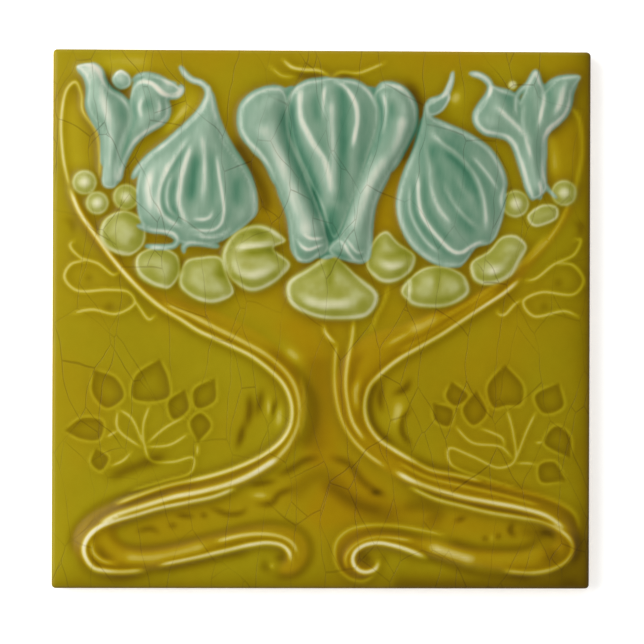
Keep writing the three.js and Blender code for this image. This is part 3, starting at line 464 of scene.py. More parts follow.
scrolls = {
    "folds": [
        (0.5, 0.4, 0.4, [
            (-71.4, 37), (-73.3, 45.9), (-73.8, 57), (-72.2, 64.9), (-69.9, 66.9), (-68.2, 63.5),
            (-67.8, 58.8), (-63.9, 52.6), (-63, 46), (-63, 40)]),
        (0.3, 0.45, 0.45, [(-15.3, 71.9), (-11.4, 68.9), (-7.4, 68.8)]),
        (0.55, 0.5, 0.5, [(-11.4, 73.6), (-8.8, 71.4), (-5.6, 70.7), (-1, 70.4), (2, 68.9)]),
        (-0.5, 0.8, 0.8, [(-8, 69.4), (-4, 68.8), (0, 69.2)]),
        (0.4, 0.4, 0.4, [(2.4, 68.6), (5, 70), (10, 69.8), (13.5, 71), (18, 73)]),
        (-0.35, 0.8, 0.8, [(4.4, 69), (9, 68.6)]),
        (0.45, 0.38, 0.38, [
            (-69.9, 22.2), (-71.3, 20.9), (-68.6, 17.5), (-63.3, 15.6), (-58.8, 12.4), (-57, 13.4)]),
        (0.45, 0.38, 0.38, [
            (-66, 16.5), (-70.9, 15.4), (-72.8, 11.8), (-69.6, 8.1), (-60, 8.2), (-54.6, 7.5), (-52.9, 4.6),
            (-58, 1.4), (-64.9, 2.6), (-70.4, 1.6)]),
        (0.45, 0.38, 0.38, [(-53.6, 6.4), (-51.2, 2.6), (-48.8, -0.2), (-46.9, 1.2)]),
        (0.45, 0.38, 0.38, [
            (71.5, 22.7), (73.4, 23), (71.7, 18.8), (65.9, 15.9), (60.4, 11.7), (57.4, 11.2)]),
        (0.45, 0.38, 0.38, [
            (65.9, 15.9), (71, 15.8), (74.3, 11.4), (71.7, 7.5), (62, 7.9), (57.1, 5.2), (60, 1.2),
            (69, 2.6), (73.4, 0.8)]),
        (0.45, 0.38, 0.38, [(49.6, 3), (50, 1.8), (51.6, 1.4), (54.8, 4.6), (57, 6)]),
        (-0.5, 1.0, 1.0, [(-66, 12.2), (-65.8, 10.8)]),
        (-0.5, 1.1, 1.1, [(-60.2, 4.2), (-59.8, 2.8)]),
        (-0.5, 0.7, 0.7, [(-72.6, 28), (-70.6, 27), (-70.4, 24)]),
        (-0.5, 0.9, 0.9, [(66.6, 11.4), (67.6, 9.8)]),
        (-0.5, 0.9, 0.9, [(63.6, 4.4), (62.6, 3.2)]),
        (-0.5, 0.7, 0.7, [(71.4, 27.6), (73.4, 27), (73, 24)]),
        (0.25, 0.7, 0.7, [(70, 61), (72.5, 58), (73.5, 53.5), (73.7, 47), (72.4, 40), (71, 33)]),
        (0.25, 0.5, 0.5, [(70.4, 34), (67, 27), (62.6, 21), (57, 15.4)]),
        (0.25, 0.6, 0.6, [(19, 10), (17.5, 5), (15.5, 1), (14, -3)]),
    ],
}

sprays = {
    "rimRise": 0.34,
    "rimWidth": 0.34,
    "bladeRise": -0.12,
    "bladeShoulder": 1.6,
    "bladeShade": 0.5,       # mm of deeper glaze along a blade's sides, partly painted shade of its sunk walls, and mm over which it fades inwards
    "bladeFade": 1.5,
    "stalkRise": 0.4,
    "stalkWidth": 0.34,
    # each blade is drawn from its tip
    "blades": [
        [(-64.6, -14.2), (-58, -16.6), (-55.7, -22), (-60.7, -25.5), (-65, -21)],
        [(-45.7, -11), (-52.8, -16), (-53.6, -22.4), (-48.4, -23.6), (-43, -22), (-43.2, -16.6)],
        [(-73, -31.6), (-67.6, -27.8), (-61.6, -29), (-62.6, -34.2), (-68, -34.2)],
        [(-63.8, -36.3), (-59.9, -39.2), (-62.4, -43.2), (-65.4, -40.6)],
        [(-38.5, -19.5), (-43.6, -23.4), (-42, -28.6), (-37.4, -25.6)],
        [(-29.9, -16.3), (-36.4, -20), (-35.4, -25.4), (-30, -23.2)],
        [(-35, -35.3), (-37.4, -29), (-34.2, -26.3), (-31, -30)],
        [(51.9, -12.2), (46.8, -19), (48.8, -25), (52.6, -24.4), (56.6, -24), (57.4, -18.8)],
        [(67.5, -17.4), (60.3, -21.4), (63, -26.6), (68.8, -24.6)],
        [(70.9, -39.5), (63, -34.8), (66.4, -29.8), (70.7, -32.6)],
        [(69.8, -45.7), (62.2, -46), (61.7, -41), (66.2, -40)],
        [(44, -19.5), (39.8, -25.6), (43, -30.1), (47.1, -26.4)],
        [(36.8, -17.1), (35, -21.8), (38, -24.6), (41.8, -21.4)],
        [(31.3, -23.2), (32, -28.6), (36.2, -30.4), (37.4, -25.4)],
    ],
    "stalks": [
        [
            (-48.5, -24), (-50.4, -30), (-50, -35.8), (-48.3, -39.9), (-42, -40.4), (-36.2, -39.2),
            (-36.8, -43.2), (-44.1, -45.7), (-54, -48.6)],
        [(-57.6, -25.4), (-53.8, -28), (-50.2, -36)],
        [(-57.6, -25.4), (-57.6, -31), (-50.6, -36.6)],
        [(-60.8, -33.4), (-57.6, -31.6)],
        [(-60, -41.8), (-56, -40), (-53.6, -37.4)],
        [(-50, -36.2), (-43, -35.6), (-37.6, -32.4)],
        [(-49.6, -35.4), (-44, -30.6), (-38.4, -27.6)],
        [(-35, -35.3), (-35.2, -38.8)],
        [
            (52.5, -25), (54.4, -32), (54.8, -40), (50.6, -41.9), (42.7, -38.6), (36.2, -36.4),
            (36.6, -40.7), (45.9, -44.7), (56, -47.8)],
        [(61, -25.7), (58, -32), (55, -40.2)],
        [(62.8, -34.6), (60.8, -34.8)],
        [(54.8, -40.6), (58.6, -40.6), (61.4, -41)],
        [(37.6, -29.8), (42.7, -34.7), (51, -36), (54.4, -39.4)],
        [(44.6, -30.6), (48.6, -32), (51.4, -33.6), (52, -36.4)],
    ],
}

# Soft marks in the glaze alone, drawn like the folds: dark ones are hollows, pale ones ridges. Most are brush
# marks; the first two are painted shade
brushMarksAndShade = [
    # painted shade: the lower right corner and the bottom edge made darker
    (-0.15, 6.0, 6.0, [(66, -74), (74, -68), (74, -60)]),
    (-0.2, 3.0, 3.0, [(20, -75), (50, -76), (74, -75)]),
    (0.12, 3.0, 3.0, [(-46, 68), (-39, 63), (-34, 58)]),
    (0.1, 2.5, 2.5, [(-70, 62), (-70.5, 52), (-69, 42)]),
    (-0.12, 2.5, 2.5, [(28.5, 50), (29.5, 44), (30, 38)]),
    (-0.15, 3.6, 3.6, [(-2, -10), (-1, -24), (-2, -38)]),
    (-0.15, 2.4, 2.4, [(-9, -50), (0, -44), (10, -52), (22, -56)]),
    (0.14, 5.0, 4.0, [(-45, 46), (-48, 38), (-46, 29)]),
    (-0.26, 5.0, 5.0, [(33, 52), (38, 44), (41, 34)]),
    (0.16, 3.0, 3.0, [(-68, 70), (-60, 72), (-48, 72)]),
    (-0.3, 1.6, 1.6, [(-44, -38.6), (-52, -41.6), (-60, -45)]),
    (-0.35, 0.7, 0.7, [(-41, -55.3), (-36, -56)]),
    (-0.35, 0.7, 0.7, [(-34, -55), (-32.4, -56)]),
    (-0.35, 0.7, 0.7, [(-31, -53.5), (-26, -55.2), (-22, -54.5), (-21.4, -53.4)]),
    (-0.35, 0.9, 0.9, [(-18, -52.3), (-14, -52), (-12, -49.5), (-8, -47.8)]),
    (0.25, 0.8, 0.8, [(-20, -49.6), (-15, -50)]),
    (-0.35, 0.8, 0.8, [(-20, -47), (-13, -45.8)]),
    (-0.3, 0.7, 0.7, [(-52, -60), (-48, -59.3), (-46, -60.4)]),
    (-0.3, 0.7, 0.7, [(-43, -58), (-41, -58.8)]),
    (-0.35, 1.0, 1.0, [(-12, -44), (-8, -42), (-5, -40), (-1, -39)]),
    (-0.3, 1.0, 1.0, [(3, -39), (8, -41), (12, -46), (18, -50)]),
    (-0.35, 0.8, 0.8, [(14, -49), (17, -49)]),
    (-0.2, 2.2, 1.6, [(23, -53.4), (28, -52.8), (33, -54.8), (30, -57)]),
    (-0.2, 1.6, 1.6, [(56, -60), (62, -60.6), (65, -62.6)]),
    (-0.15, 1.8, 1.8, [(0, -46), (6, -50), (12, -53), (18, -54)]),
    (-0.35, 0.7, 0.7, [(38, -57), (41, -56)]),
    (-0.4, 0.8, 0.8, [(54.4, -57.6), (53.6, -59.6), (55, -61.4)]),
    (-0.4, 0.8, 0.8, [(62, -60), (65, -60.6), (66, -62)]),
    (-0.35, 0.6, 0.6, [(46, -61.4), (47, -62.4)]),
    (-0.35, 0.6, 0.6, [(50, -60.6), (50.6, -62)]),
    (0.25, 0.5, 0.5, [(48.4, -61), (48.6, -62.6)]),
    (-0.4, 1.0, 1.0, [(-20.4, -21.4), (-20.3, -25), (-21, -30)]),
    (-0.35, 0.9, 0.9, [(-17, -20), (-17.4, -23), (-18.2, -27)]),
    (-0.4, 0.9, 0.9, [(-22, -29.6), (-22.8, -33), (-23.8, -36.4)]),
    (-0.4, 0.8, 0.8, [(-13, -22.6), (-13.4, -25), (-14.2, -28)]),
    (0.3, 0.7, 0.7, [(-15, -22), (-14.8, -28)]),
    (0.3, 1.2, 1.2, [(-12, -24), (-12, -31)]),
    (0.25, 1.4, 1.4, [(-10.6, -8), (-6, -12)]),
    (-0.4, 0.8, 0.8, [(17.2, -18.4), (16.6, -22), (17, -26)]),
    (0.3, 1.6, 1.6, [(22, -22.6), (21.6, -27), (20.6, -30)]),
    (-0.4, 0.9, 0.9, [(25, -17), (23.8, -19.4), (20.6, -21)]),
    (-0.4, 0.8, 0.8, [(25, -25.4), (23, -28), (23, -32), (25.4, -35.6)]),
    (0.25, 1.6, 1.6, [(64, 54), (65.4, 47), (66, 41)]),
    (-0.3, 1.6, 1.6, [(24.4, 67.4), (27.6, 60), (26.6, 53), (22.4, 44.6)]),
    (-0.35, 1.6, 1.6, [(-25, 50.6), (-20.6, 43.6), (-16.8, 36.6), (-15.4, 30)]),
    (0.3, 1.2, 1.2, [(-38, 60.6), (-41, 57), (-45, 52.6)]),
    (0.35, 1.6, 1.6, [(36.6, 61), (38.4, 65)]),
]

# Where the field's glaze was laid browner: (how much, how softly it ends, outline)
amberZones = [
    (0.85, 3.0, [
        (-27, 60), (-24, 46), (-16, 36), (-12, 27), (-8, 24), (12, 24), (17, 34), (21, 46), (27, 60),
        (30, 56), (25, 46), (20, 34), (18, 24), (4, 20), (-10, 22), (-18, 28), (-20, 38), (-26, 48),
        (-29, 56)]),
    (0.6, 3.5, [
        (-26, 4), (-12, -4), (-4, -14), (-2, -26), (-5, -38), (-14, -46), (-34, -53), (-57, -60),
        (-40, -63), (-20, -57), (-8, -56), (0, -62), (6, -58), (20, -58), (36, -60), (64, -62), (66, -60),
        (40, -54), (18, -45), (7, -34), (4, -24), (4, -12), (10, 0), (24, 6), (42, 6), (20, 12),
        (-14, 12)]),
    (1.0, 2.5, [
        (-16, 0), (-6, -10), (-2, -20), (-2, -30), (-6, -40), (0, -44), (6, -38), (3, -28), (2, -14),
        (0, -4), (-6, 2)]),
    (0.85, 2.2, [
        (8, -41), (17, -47.6), (30, -53), (48, -57), (63, -59.6), (65, -62.6), (50, -62.6), (34, -60.6),
        (20, -58.4), (8, -57.4), (0, -60), (-6, -55), (0, -44)]),
    (0.5, 2.5, [
        (-8, -41), (-18, -47), (-32, -52), (-48, -56), (-55, -59), (-46, -61), (-34, -59.4), (-20, -56.4),
        (-8, -56.6), (-2, -52)]),
    (0.5, 3.0, [(12, 4), (18, -4), (30, 2), (48, 12), (56, 22), (44, 18), (28, 8)]),
    (0.65, 3.0, [(-74, 74), (74, 74), (74, 68), (60, 72), (20, 71), (-20, 72), (-60, 74)]),
    (0.5, 2.5, [(70, -70), (72, -62), (66, -57), (50, -62), (54, -70)]),
    (0.4, 3.0, [(62, 62), (70, 58), (72, 44), (66, 36), (62, 46)]),
    (0.3, 3.0, [(-30, 62), (-26, 56), (-27, 64)]),
]

die = {
    "pitch": 0.2,            # mm between the points that the relief is worked out on
    "skirt": 8.0,            # mm that they reach past the tile
    "lineStep": 0.9,         # mm between the points of a drawn line
    "foldFade": 3.5,         # mm over which a fold rises from its end, and how much of it is left at the end
    "foldEnd": 0.25,
    "foldReach": 2.4,        # widths past which a fold is gone
    "wallWidth": 1.0,        # mm across the wall at a mound's outline, and its share of the rise
    "wallShare": 0.3,
    "swell": 1.7,            # how far a mound swells, in widths of its shoulder
    "overlap": 0.3,          # mm that a mound may lie under an older one and still keep its rim
    "softening": 0.3,        # mm, how round the clay leaves the die
    "hollowRelief": 0.45,    # how much of a hollow is left once the glaze has filled it
    "ridgeBleed": 0.25,      # mm, how softly the glaze thins over a ridge, and deepens in a hollow
    "hollowBleed": 0.6,
    "ridgeShare": 2.2,       # how much it thins over a ridge
    "ridgeLimit": 0.39,      # mm of ridge past which it hardly thins more
    "broadReach": 1.5,       # mm, and how much less it thins over a ridge that is broad
    "broadShare": 0.9,
    "paintedRidge": 0.1,     # mm of ridge that takes the glaze of its form
    "rimInset": 0.26,        # mm from a painted mound's outline to its thin raised rim
    "rimWidth": 0.3,
    "moatInset": 1.7,        # mm to the shallow moat inside the rim
    "moatWidth": 0.9,
    "markDepth": 1.8,        # how much deeper a mark's glaze is than it is drawn, brush marks and painted shade alike
    "poolReach": 3.0,        # mm, how far the glaze runs down from the folds and the mounds
    "foldPool": 0.5,
    "moundPool": 0.4,
    "fillingReach": 1.3,     # mm, and how far the glaze levels the relief
    "filling": 0.84,
    "highest": 2.7,          # mm over the field, and how far under that the relief starts to level off
    "highestEase": 0.5,
    "stemAmber": 0.75,       # how brown the stems are, and how softly the brown ends
    "stemBleed": 0.6,
    "flowerBleed": 0.42,     # mm, how far the flowers' glaze runs over the field, and how steeply it ends
    "flowerEdge": (2.6, 0.6),
    "maskSoftness": 0.35,    # mm, how softly one glaze meets the next
}

across = np.arange(-halfWide - die["skirt"], halfWide + die["skirt"], die["pitch"])
along = np.arange(-halfLong - die["skirt"], halfLong + die["skirt"], die["pitch"])


def smoothLine(points, closed=False):
    # even points along a smooth curve through the drawn ones
    p = [np.array(q, float) for q in points]
    p = [p[-1]] + p + p[:2] if closed else [2 * p[0] - p[1]] + p + [2 * p[-1] - p[-2]]
    line = []
    for a, b, c, d in zip(p, p[1:], p[2:], p[3:]):
        gaps = [max(np.hypot(*(v - u)), 1e-6) ** 0.5 for u, v in ((a, b), (b, c), (c, d))]
        leave = (b - a) / gaps[0] - (c - a) / (gaps[0] + gaps[1]) + (c - b) / gaps[1]
        arrive = (c - b) / gaps[1] - (d - b) / (gaps[1] + gaps[2]) + (d - c) / gaps[2]
        leave, arrive = leave * gaps[1], arrive * gaps[1]
        count = max(2, round(float(np.hypot(*(c - b))) / die["lineStep"]))
        for t in np.arange(count) / count:
            line.append(
                (2 * t**3 - 3 * t**2 + 1) * b + (t**3 - 2 * t**2 + t) * leave
                + (3 * t**2 - 2 * t**3) * c + (t**3 - t**2) * arrive
            )
    line.append(line[0] if closed else p[-2])
    return np.array(line)


def window(low, high):
    # the rows and columns of the die between two corners
    c0, c1 = np.searchsorted(across, (low[0], high[0]))
    r0, r1 = np.searchsorted(along, (low[1], high[1]))
    return slice(r0, r1), slice(c0, c1)


def foldHeight(fold):
    # a drawn fold's height on the part of the die that it reaches
    rise, leftWidth, rightWidth, points = fold
    line = smoothLine(points)
    reach = die["foldReach"] * max(leftWidth, rightWidth)
    area = window(line.min(0) - reach, line.max(0) + reach)
    near = np.full((area[0].stop - area[0].start, area[1].stop - area[1].start), reach)
    side = np.zeros_like(near)
    run = np.zeros_like(near)
    passed = 0.0
    for a, b in zip(line, line[1:]):
        length = max(float(np.hypot(*(b - a))), 1e-6)
        heading = (b - a) / length
        rows, columns = window(np.minimum(a, b) - reach, np.maximum(a, b) + reach)
        dx = across[columns][None, :] - a[0]
        dy = along[rows][:, None] - a[1]
        t = np.clip(dx * heading[0] + dy * heading[1], 0, length)
        distance = np.hypot(dx - t * heading[0], dy - t * heading[1])
        spot = (
            slice(rows.start - area[0].start, rows.stop - area[0].start),
            slice(columns.start - area[1].start, columns.stop - area[1].start),
        )
        closer = distance < near[spot]
        near[spot][closer] = distance[closer]
        side[spot][closer] = (heading[0] * dy - heading[1] * dx)[closer]
        run[spot][closer] = (passed + t)[closer]
        passed += length
    width = np.where(side > 0, leftWidth, rightWidth)
    fade = min(die["foldFade"], 0.45 * passed)
    ends = np.sin(np.clip(np.minimum(run, passed - run) / fade, 0, 1) * math.pi / 2)
    ends = die["foldEnd"] + (1 - die["foldEnd"]) * ends
    return area, rise * np.exp(-(near / width) ** 2) * ends * (near < die["foldReach"] * width)


def insideOf(line):
    # which points of the die lie inside a closed line, and how far from it
    rows, columns = window(line.min(0), line.max(0))
    x = across[columns][None, :]
    y = along[rows][:, None]
    inside = np.zeros((y.shape[0], x.shape[1]), bool)
    distance = np.full(inside.shape, 1e3)
    for a, b in zip(line, line[1:]):
        if a[1] != b[1]:
            crossing = a[0] + (y - a[1]) / (b[1] - a[1]) * (b[0] - a[0])
            inside ^= ((a[1] > y) != (b[1] > y)) & (x < crossing)
        length = max(float(np.hypot(*(b - a))), 1e-6)
        heading = (b - a) / length
        t = np.clip((x - a[0]) * heading[0] + (y - a[1]) * heading[1], 0, length)
        distance = np.minimum(distance, np.hypot(x - a[0] - t * heading[0], y - a[1] - t * heading[1]))
    return rows, columns, np.where(inside, distance, 0)


def crown(depth, shoulder):
    # a low wall at the outline, then a swelling over the shoulder
    wall = np.clip(depth / die["wallWidth"], 0, 1)
    swell = np.clip(depth / (die["swell"] * shoulder), 0, 1)
    share = die["wallShare"]
    return share * np.sin(wall * math.pi / 2) + (1 - share) * (1 - (1 - swell) ** 2)


def bump(distance, width):
    # a soft rise where the distance is nothing
    return np.exp(-(distance / width) ** 2)


def blurred(values, reach):
    # a round blur, worked out in waves
    high = np.fft.fftfreq(values.shape[0], die["pitch"])[:, None]
    wide = np.fft.rfftfreq(values.shape[1], die["pitch"])[None, :]
    spread = np.exp(-2 * (math.pi * reach) ** 2 * (high**2 + wide**2))
    return np.fft.irfft2(np.fft.rfft2(values) * spread, values.shape)


def paintInside(mask, outline):
    rows, columns, depth = insideOf(smoothLine(outline, closed=True))
    mask[rows, columns] = np.maximum(mask[rows, columns], depth > 0)


def pressRelief():
    # the clay over the plain field, the depth of its glaze with some painted light and shade laid into it,
    # and where each glaze was painted
    body, ridges, hollows, marks, flower, leaf, amber = np.zeros((7, len(along), len(across)))

    def raiseMounds(mounds, mask, rim=0.0, moat=0.0):
        for rise, shoulder, outline in mounds:
            rows, columns, depth = insideOf(smoothLine(outline, closed=True))
            height = rise * crown(depth, shoulder)
            above = (depth > 0) & (height >= body[rows, columns] - die["overlap"])
            body[rows, columns] = np.maximum(body[rows, columns], height)
            edge = rim * bump(depth - die["rimInset"], die["rimWidth"])
            dip = -moat * bump(depth - die["moatInset"], die["moatWidth"])
            ridges[rows, columns] = np.where(above, edge, ridges[rows, columns])
            hollows[rows, columns] = np.where(above, dip, hollows[rows, columns])
            mask[rows, columns] = np.maximum(mask[rows, columns], depth > 0)

    raiseMounds(stems["mounds"], amber)
    amber = die["stemAmber"] * blurred(amber, die["stemBleed"])
    raiseMounds(leaves["mounds"], leaf, leaves["rim"], leaves["moat"])
    flowers = (leftBud, rightBud, leftTrumpet, middleFlower, rightTrumpet)
    for form in flowers:
        raiseMounds(form["mounds"], flower, form["rim"])
        for outline in form.get("painted", []):
            paintInside(flower, outline)
    for x, y, radius in berries["places"]:
        turn = np.linspace(0, 2 * math.pi, berries["points"] + 1)[:-1]
        outline = [(x + radius * math.cos(t), y + radius * math.sin(t)) for t in turn]
        raiseMounds([(berries["rise"], radius, outline)], leaf, berries["rim"], berries["moat"])
    # pale berry middles: thinner glaze over the dome, partly a painted highlight
    for x, y, radius in berries["places"]:
        away = np.hypot(across[None, :] - x, along[:, None] - y)
        np.maximum(ridges, berries["dome"] * bump(away, berries["domeShare"] * radius), out=ridges)

    # the blades of the sprays are shallow, and their glaze is deeper along their sides, partly painted shade
    # of a deeper sunk blade
    lines = [((sprays["stalkRise"], sprays["stalkWidth"], sprays["stalkWidth"], stalk), None)
             for stalk in sprays["stalks"]]
    for blade in sprays["blades"]:
        rim = blade + [blade[0]]
        lines.append(((sprays["rimRise"], sprays["rimWidth"], sprays["rimWidth"], rim), None))
        rows, columns, depth = insideOf(smoothLine([blade[0]] + rim))
        hollows[rows, columns] = sprays["bladeRise"] * crown(depth, sprays["bladeShoulder"])
        shade = (depth > 0) * sprays["bladeShade"] * np.exp(-depth / sprays["bladeFade"])
        marks[rows, columns] = np.maximum(marks[rows, columns], shade)
    for mark in brushMarksAndShade:
        area, height = foldHeight(mark)
        marks[area] -= die["markDepth"] * height

    masks = [(stems, None), (scrolls, None), (leaves, leaf)] + [(form, flower) for form in flowers]
    lines += [(fold, mask) for form, mask in masks for fold in form["folds"]]
    for fold, mask in lines:
        area, height = foldHeight(fold)
        ridges[area] = np.maximum(ridges[area], height)
        hollows[area] = np.minimum(hollows[area], height)
        if mask is not None:
            mask[area] = np.maximum(mask[area], height > die["paintedRidge"])
    leaf[flower > 0] = 0

    fallen = blurred(body, die["softening"])
    reach = die["poolReach"]
    thinned = blurred(ridges, die["ridgeBleed"]) - die["broadShare"] * blurred(ridges, die["broadReach"])
    thinned = die["ridgeLimit"] * np.tanh(thinned / die["ridgeLimit"])
    poolAndPaintedLight = blurred(marks, die["maskSoftness"]) - die["ridgeShare"] * thinned
    poolAndPaintedLight -= blurred(hollows, die["hollowBleed"])
    poolAndPaintedLight += die["foldPool"] * blurred(hollows, reach) + die["moundPool"] * (blurred(body, reach) - fallen)
    body = fallen + blurred(ridges + die["hollowRelief"] * hollows, die["softening"])
    body += die["filling"] * (blurred(body, die["fillingReach"]) - body)
    ease = die["highestEase"]
    over = body - die["highest"] + ease
    body = np.where(over > 0, die["highest"] - ease * np.exp(-over / ease), body)

    steep, outward = die["flowerEdge"]
    flower = np.clip(steep * blurred(flower, die["flowerBleed"]) - outward, 0, 1)
    for amount, softness, outline in amberZones:
        zone = np.zeros_like(body)
        paintInside(zone, outline)
        amber = np.maximum(amber, amount * blurred(zone, softness))
    leaf = blurred(leaf, die["maskSoftness"])
    return {"height": body, "poolAndPaintedLight": poolAndPaintedLight, "flower": flower, "leaf": leaf, "amber": amber}


def readAt(values, x, y):
    # a value of the die between its points
    u = np.clip((x - across[0]) / die["pitch"], 0, len(across) - 1.001)
    v = np.clip((y - along[0]) / die["pitch"], 0, len(along) - 1.001)
    i, j = u.astype(int), v.astype(int)
    u, v = u - i, v - j
    return (
        values[j, i] * (1 - u) * (1 - v) + values[j, i + 1] * u * (1 - v)
        + values[j + 1, i] * (1 - u) * v + values[j + 1, i + 1] * u * v
    )


tile = {
    "fieldHeight": 8.0,      # mm
    "edgeRounding": 1.0,
    "cornerRadius": 1.2,
    # painted light and shade at the edges: how much deeper the glaze is made along the left, right, top and
    # bottom, paler on the left and darker on the right and bottom, and over how many mm
    "edgeShade": (-0.14, 0.68, 0.0, 0.44),
    "edgeShadeReach": 3.0,
    "edgeRows": 4,           # rows of faces round the edge
    "rows": 216,             # rows of faces over the whole face
    "fineShare": 0.26,       # the share of the faces that is halved again, where the glaze changes most
    "fineReach": 0.35,       # mm over which the change is looked for
    "fineMask": 0.4,         # how much the edge of a painted glaze counts
    "plainEdge": 0.8,        # mm inside the rounding that stay plain
    "sideHeights": (6.2, 5.0, 3.5, 2.0, 0.4),
    "backChamfer": 0.4,
    "backBorder": 2.0,
    "grooveWidth": 3.6,
    "groovePitch": 9.0,
    "grooveDepth": 1.1,
    "grooveDraft": 0.45,     # mm that a groove's wall leans
    "grooveMargin": 9.0,
    "grooveEndSteps": (0.0, 0.25, 0.6, 1.2, 6.0),  # mm from a groove's end to the lines that follow it
    "sharpAngle": 35.0,      # degrees past which an edge is shaded sharp
}


def edgeFall(x, y):
    # how far the rounded edge of the face lies under the field
    rounding, radius = tile["edgeRounding"], tile["cornerRadius"]
    qx = np.abs(x) - (halfWide - radius)
    qy = np.abs(y) - (halfLong - radius)
    depth = radius - np.hypot(np.maximum(qx, 0), np.maximum(qy, 0)) - np.minimum(np.maximum(qx, qy), 0)
    reach = np.clip(depth, 0, rounding)
    return rounding - np.sqrt(rounding**2 - (rounding - reach) ** 2)


def layGrid(bm, columns, rows):
    # a grid whose lines lie where the lists say
    made = bmesh.ops.create_grid(bm, x_segments=len(columns) - 1, y_segments=len(rows) - 1, size=1)["verts"]
    for v in made:
        i = round((v.co.x + 1) / 2 * (len(columns) - 1))
        j = round((v.co.y + 1) / 2 * (len(rows) - 1))
        v.co = (columns[i], rows[j], 0)
    return made


def faceLines(half):
    # finer lines over the rounded edge, even ones between
    turn = np.linspace(0, math.pi / 2, tile["edgeRows"] + 1)
    edge = tile["edgeRounding"] * (1 - np.cos(turn))
    inner = np.linspace(-half + edge[-1], half - edge[-1], tile["rows"] - 2 * tile["edgeRows"] + 1)
    return np.concatenate([-half + edge[:-1], inner, half - edge[:-1][::-1]])


def roundCorner(x, y):
    # the square's corner drawn in to a round one
    radius = tile["cornerRadius"]
    u = (abs(x) - (halfWide - radius)) / radius
    v = (abs(y) - (halfLong - radius)) / radius
    if u <= 0 or v <= 0:
        return x, y
    pull = max(u, v) / math.hypot(u, v)
    return (
        math.copysign(halfWide - radius + u * pull * radius, x),
        math.copysign(halfLong - radius + v * pull * radius, y),
    )


def makeFace(bm, relief):
    # a grid over the whole face, finer where the glaze changes fast, lifted to the relief
    layGrid(bm, faceLines(halfWide), faceLines(halfLong))
    masks = relief["flower"] + relief["leaf"]
    steepness = np.hypot(*np.gradient(relief["poolAndPaintedLight"])) + np.hypot(*np.gradient(masks)) * tile["fineMask"]
    steepness = blurred(steepness, tile["fineReach"])
    middles = [f.calc_center_median() for f in bm.faces]
    steep = readAt(steepness, np.array([c.x for c in middles]), np.array([c.y for c in middles]))
    inner = halfWide - tile["edgeRounding"] - tile["plainEdge"]
    limit = np.quantile(steep, 1 - tile["fineShare"])
    fine = {
        e for f, much, c in zip(bm.faces, steep, middles)
        if much > limit and max(abs(c.x), abs(c.y)) < inner for e in f.edges
    }
    bmesh.ops.subdivide_edges(bm, edges=list(fine), cuts=1, use_grid_fill=True)
    face = list(bm.verts)
    for v in face:
        v.co.x, v.co.y = roundCorner(v.co.x, v.co.y)
    x = np.array([v.co.x for v in face])
    y = np.array([v.co.y for v in face])
    heights = tile["fieldHeight"] + readAt(relief["height"], x, y) - edgeFall(x, y)
    names = ("poolAndPaintedLight", "flower", "leaf", "amber")
    values = {name: readAt(relief[name], x, y) for name in names}
    # painted light and shade at the edges, laid into the glaze depth
    for share, inward in zip(tile["edgeShade"], (halfWide + x, halfWide - x, halfLong - y, halfLong + y)):
        values["poolAndPaintedLight"] += share * np.exp(-inward / tile["edgeShadeReach"])
    layers = [bm.verts.layers.float[name] for name in names]
    for v, height, *own in zip(face, heights, *values.values()):
        v.co.z = height
        for layer, value in zip(layers, own):
            v[layer] = value


def makeSides(bm):
    # down the sides, ring by ring, and round the back's chamfer
    ring = [e for e in bm.edges if e.is_boundary]
    for level in (*tile["sideHeights"], 0):
        made = bmesh.ops.extrude_edge_only(bm, edges=ring)["geom"]
        ring = [e for e in made if isinstance(e, bmesh.types.BMEdge) and e.is_boundary]
        for v in {v for e in ring for v in e.verts}:
            v.co.z = level
            if level == 0:
                v.co.x *= 1 - tile["backChamfer"] / halfWide
                v.co.y *= 1 - tile["backChamfer"] / halfLong


def makeBack(bm):
    # the ribbed back, and the plain border round it
    halfWidth = tile["grooveWidth"] / 2
    reach = halfLong - tile["grooveMargin"] - halfWidth
    count = 2 * math.floor(reach / tile["groovePitch"] + 0.5)
    grooves = [(i - (count - 1) / 2) * tile["groovePitch"] for i in range(count)]
    border = halfLong - tile["backBorder"]
    rows = [-border, border]
    for groove in grooves:
        for edge, inward in ((groove - halfWidth, 1), (groove + halfWidth, -1)):
            rows += [edge, edge + inward * tile["grooveDraft"]]
    end = halfWide - tile["grooveMargin"]
    places = [halfWide - tile["backBorder"], end - halfWidth, end / 2, end / 4]
    places += [end - step for step in tile["grooveEndSteps"]]
    columns = [-place for place in places] + places + [0]
    before = set(bm.faces)
    for v in layGrid(bm, sorted(columns), sorted(rows)):
        nearest = min(grooves, key=lambda groove: abs(groove - v.co.y))
        dx = max(abs(v.co.x) - (end - halfWidth), 0)
        inward = halfWidth - math.hypot(dx, v.co.y - nearest)
        v.co.z = tile["grooveDepth"] * min(max(inward / tile["grooveDraft"], 0), 1)
    bmesh.ops.reverse_faces(bm, faces=[f for f in bm.faces if f not in before])
    bmesh.ops.triangle_fill(bm, edges=[e for e in bm.edges if e.is_boundary], use_beauty=True)


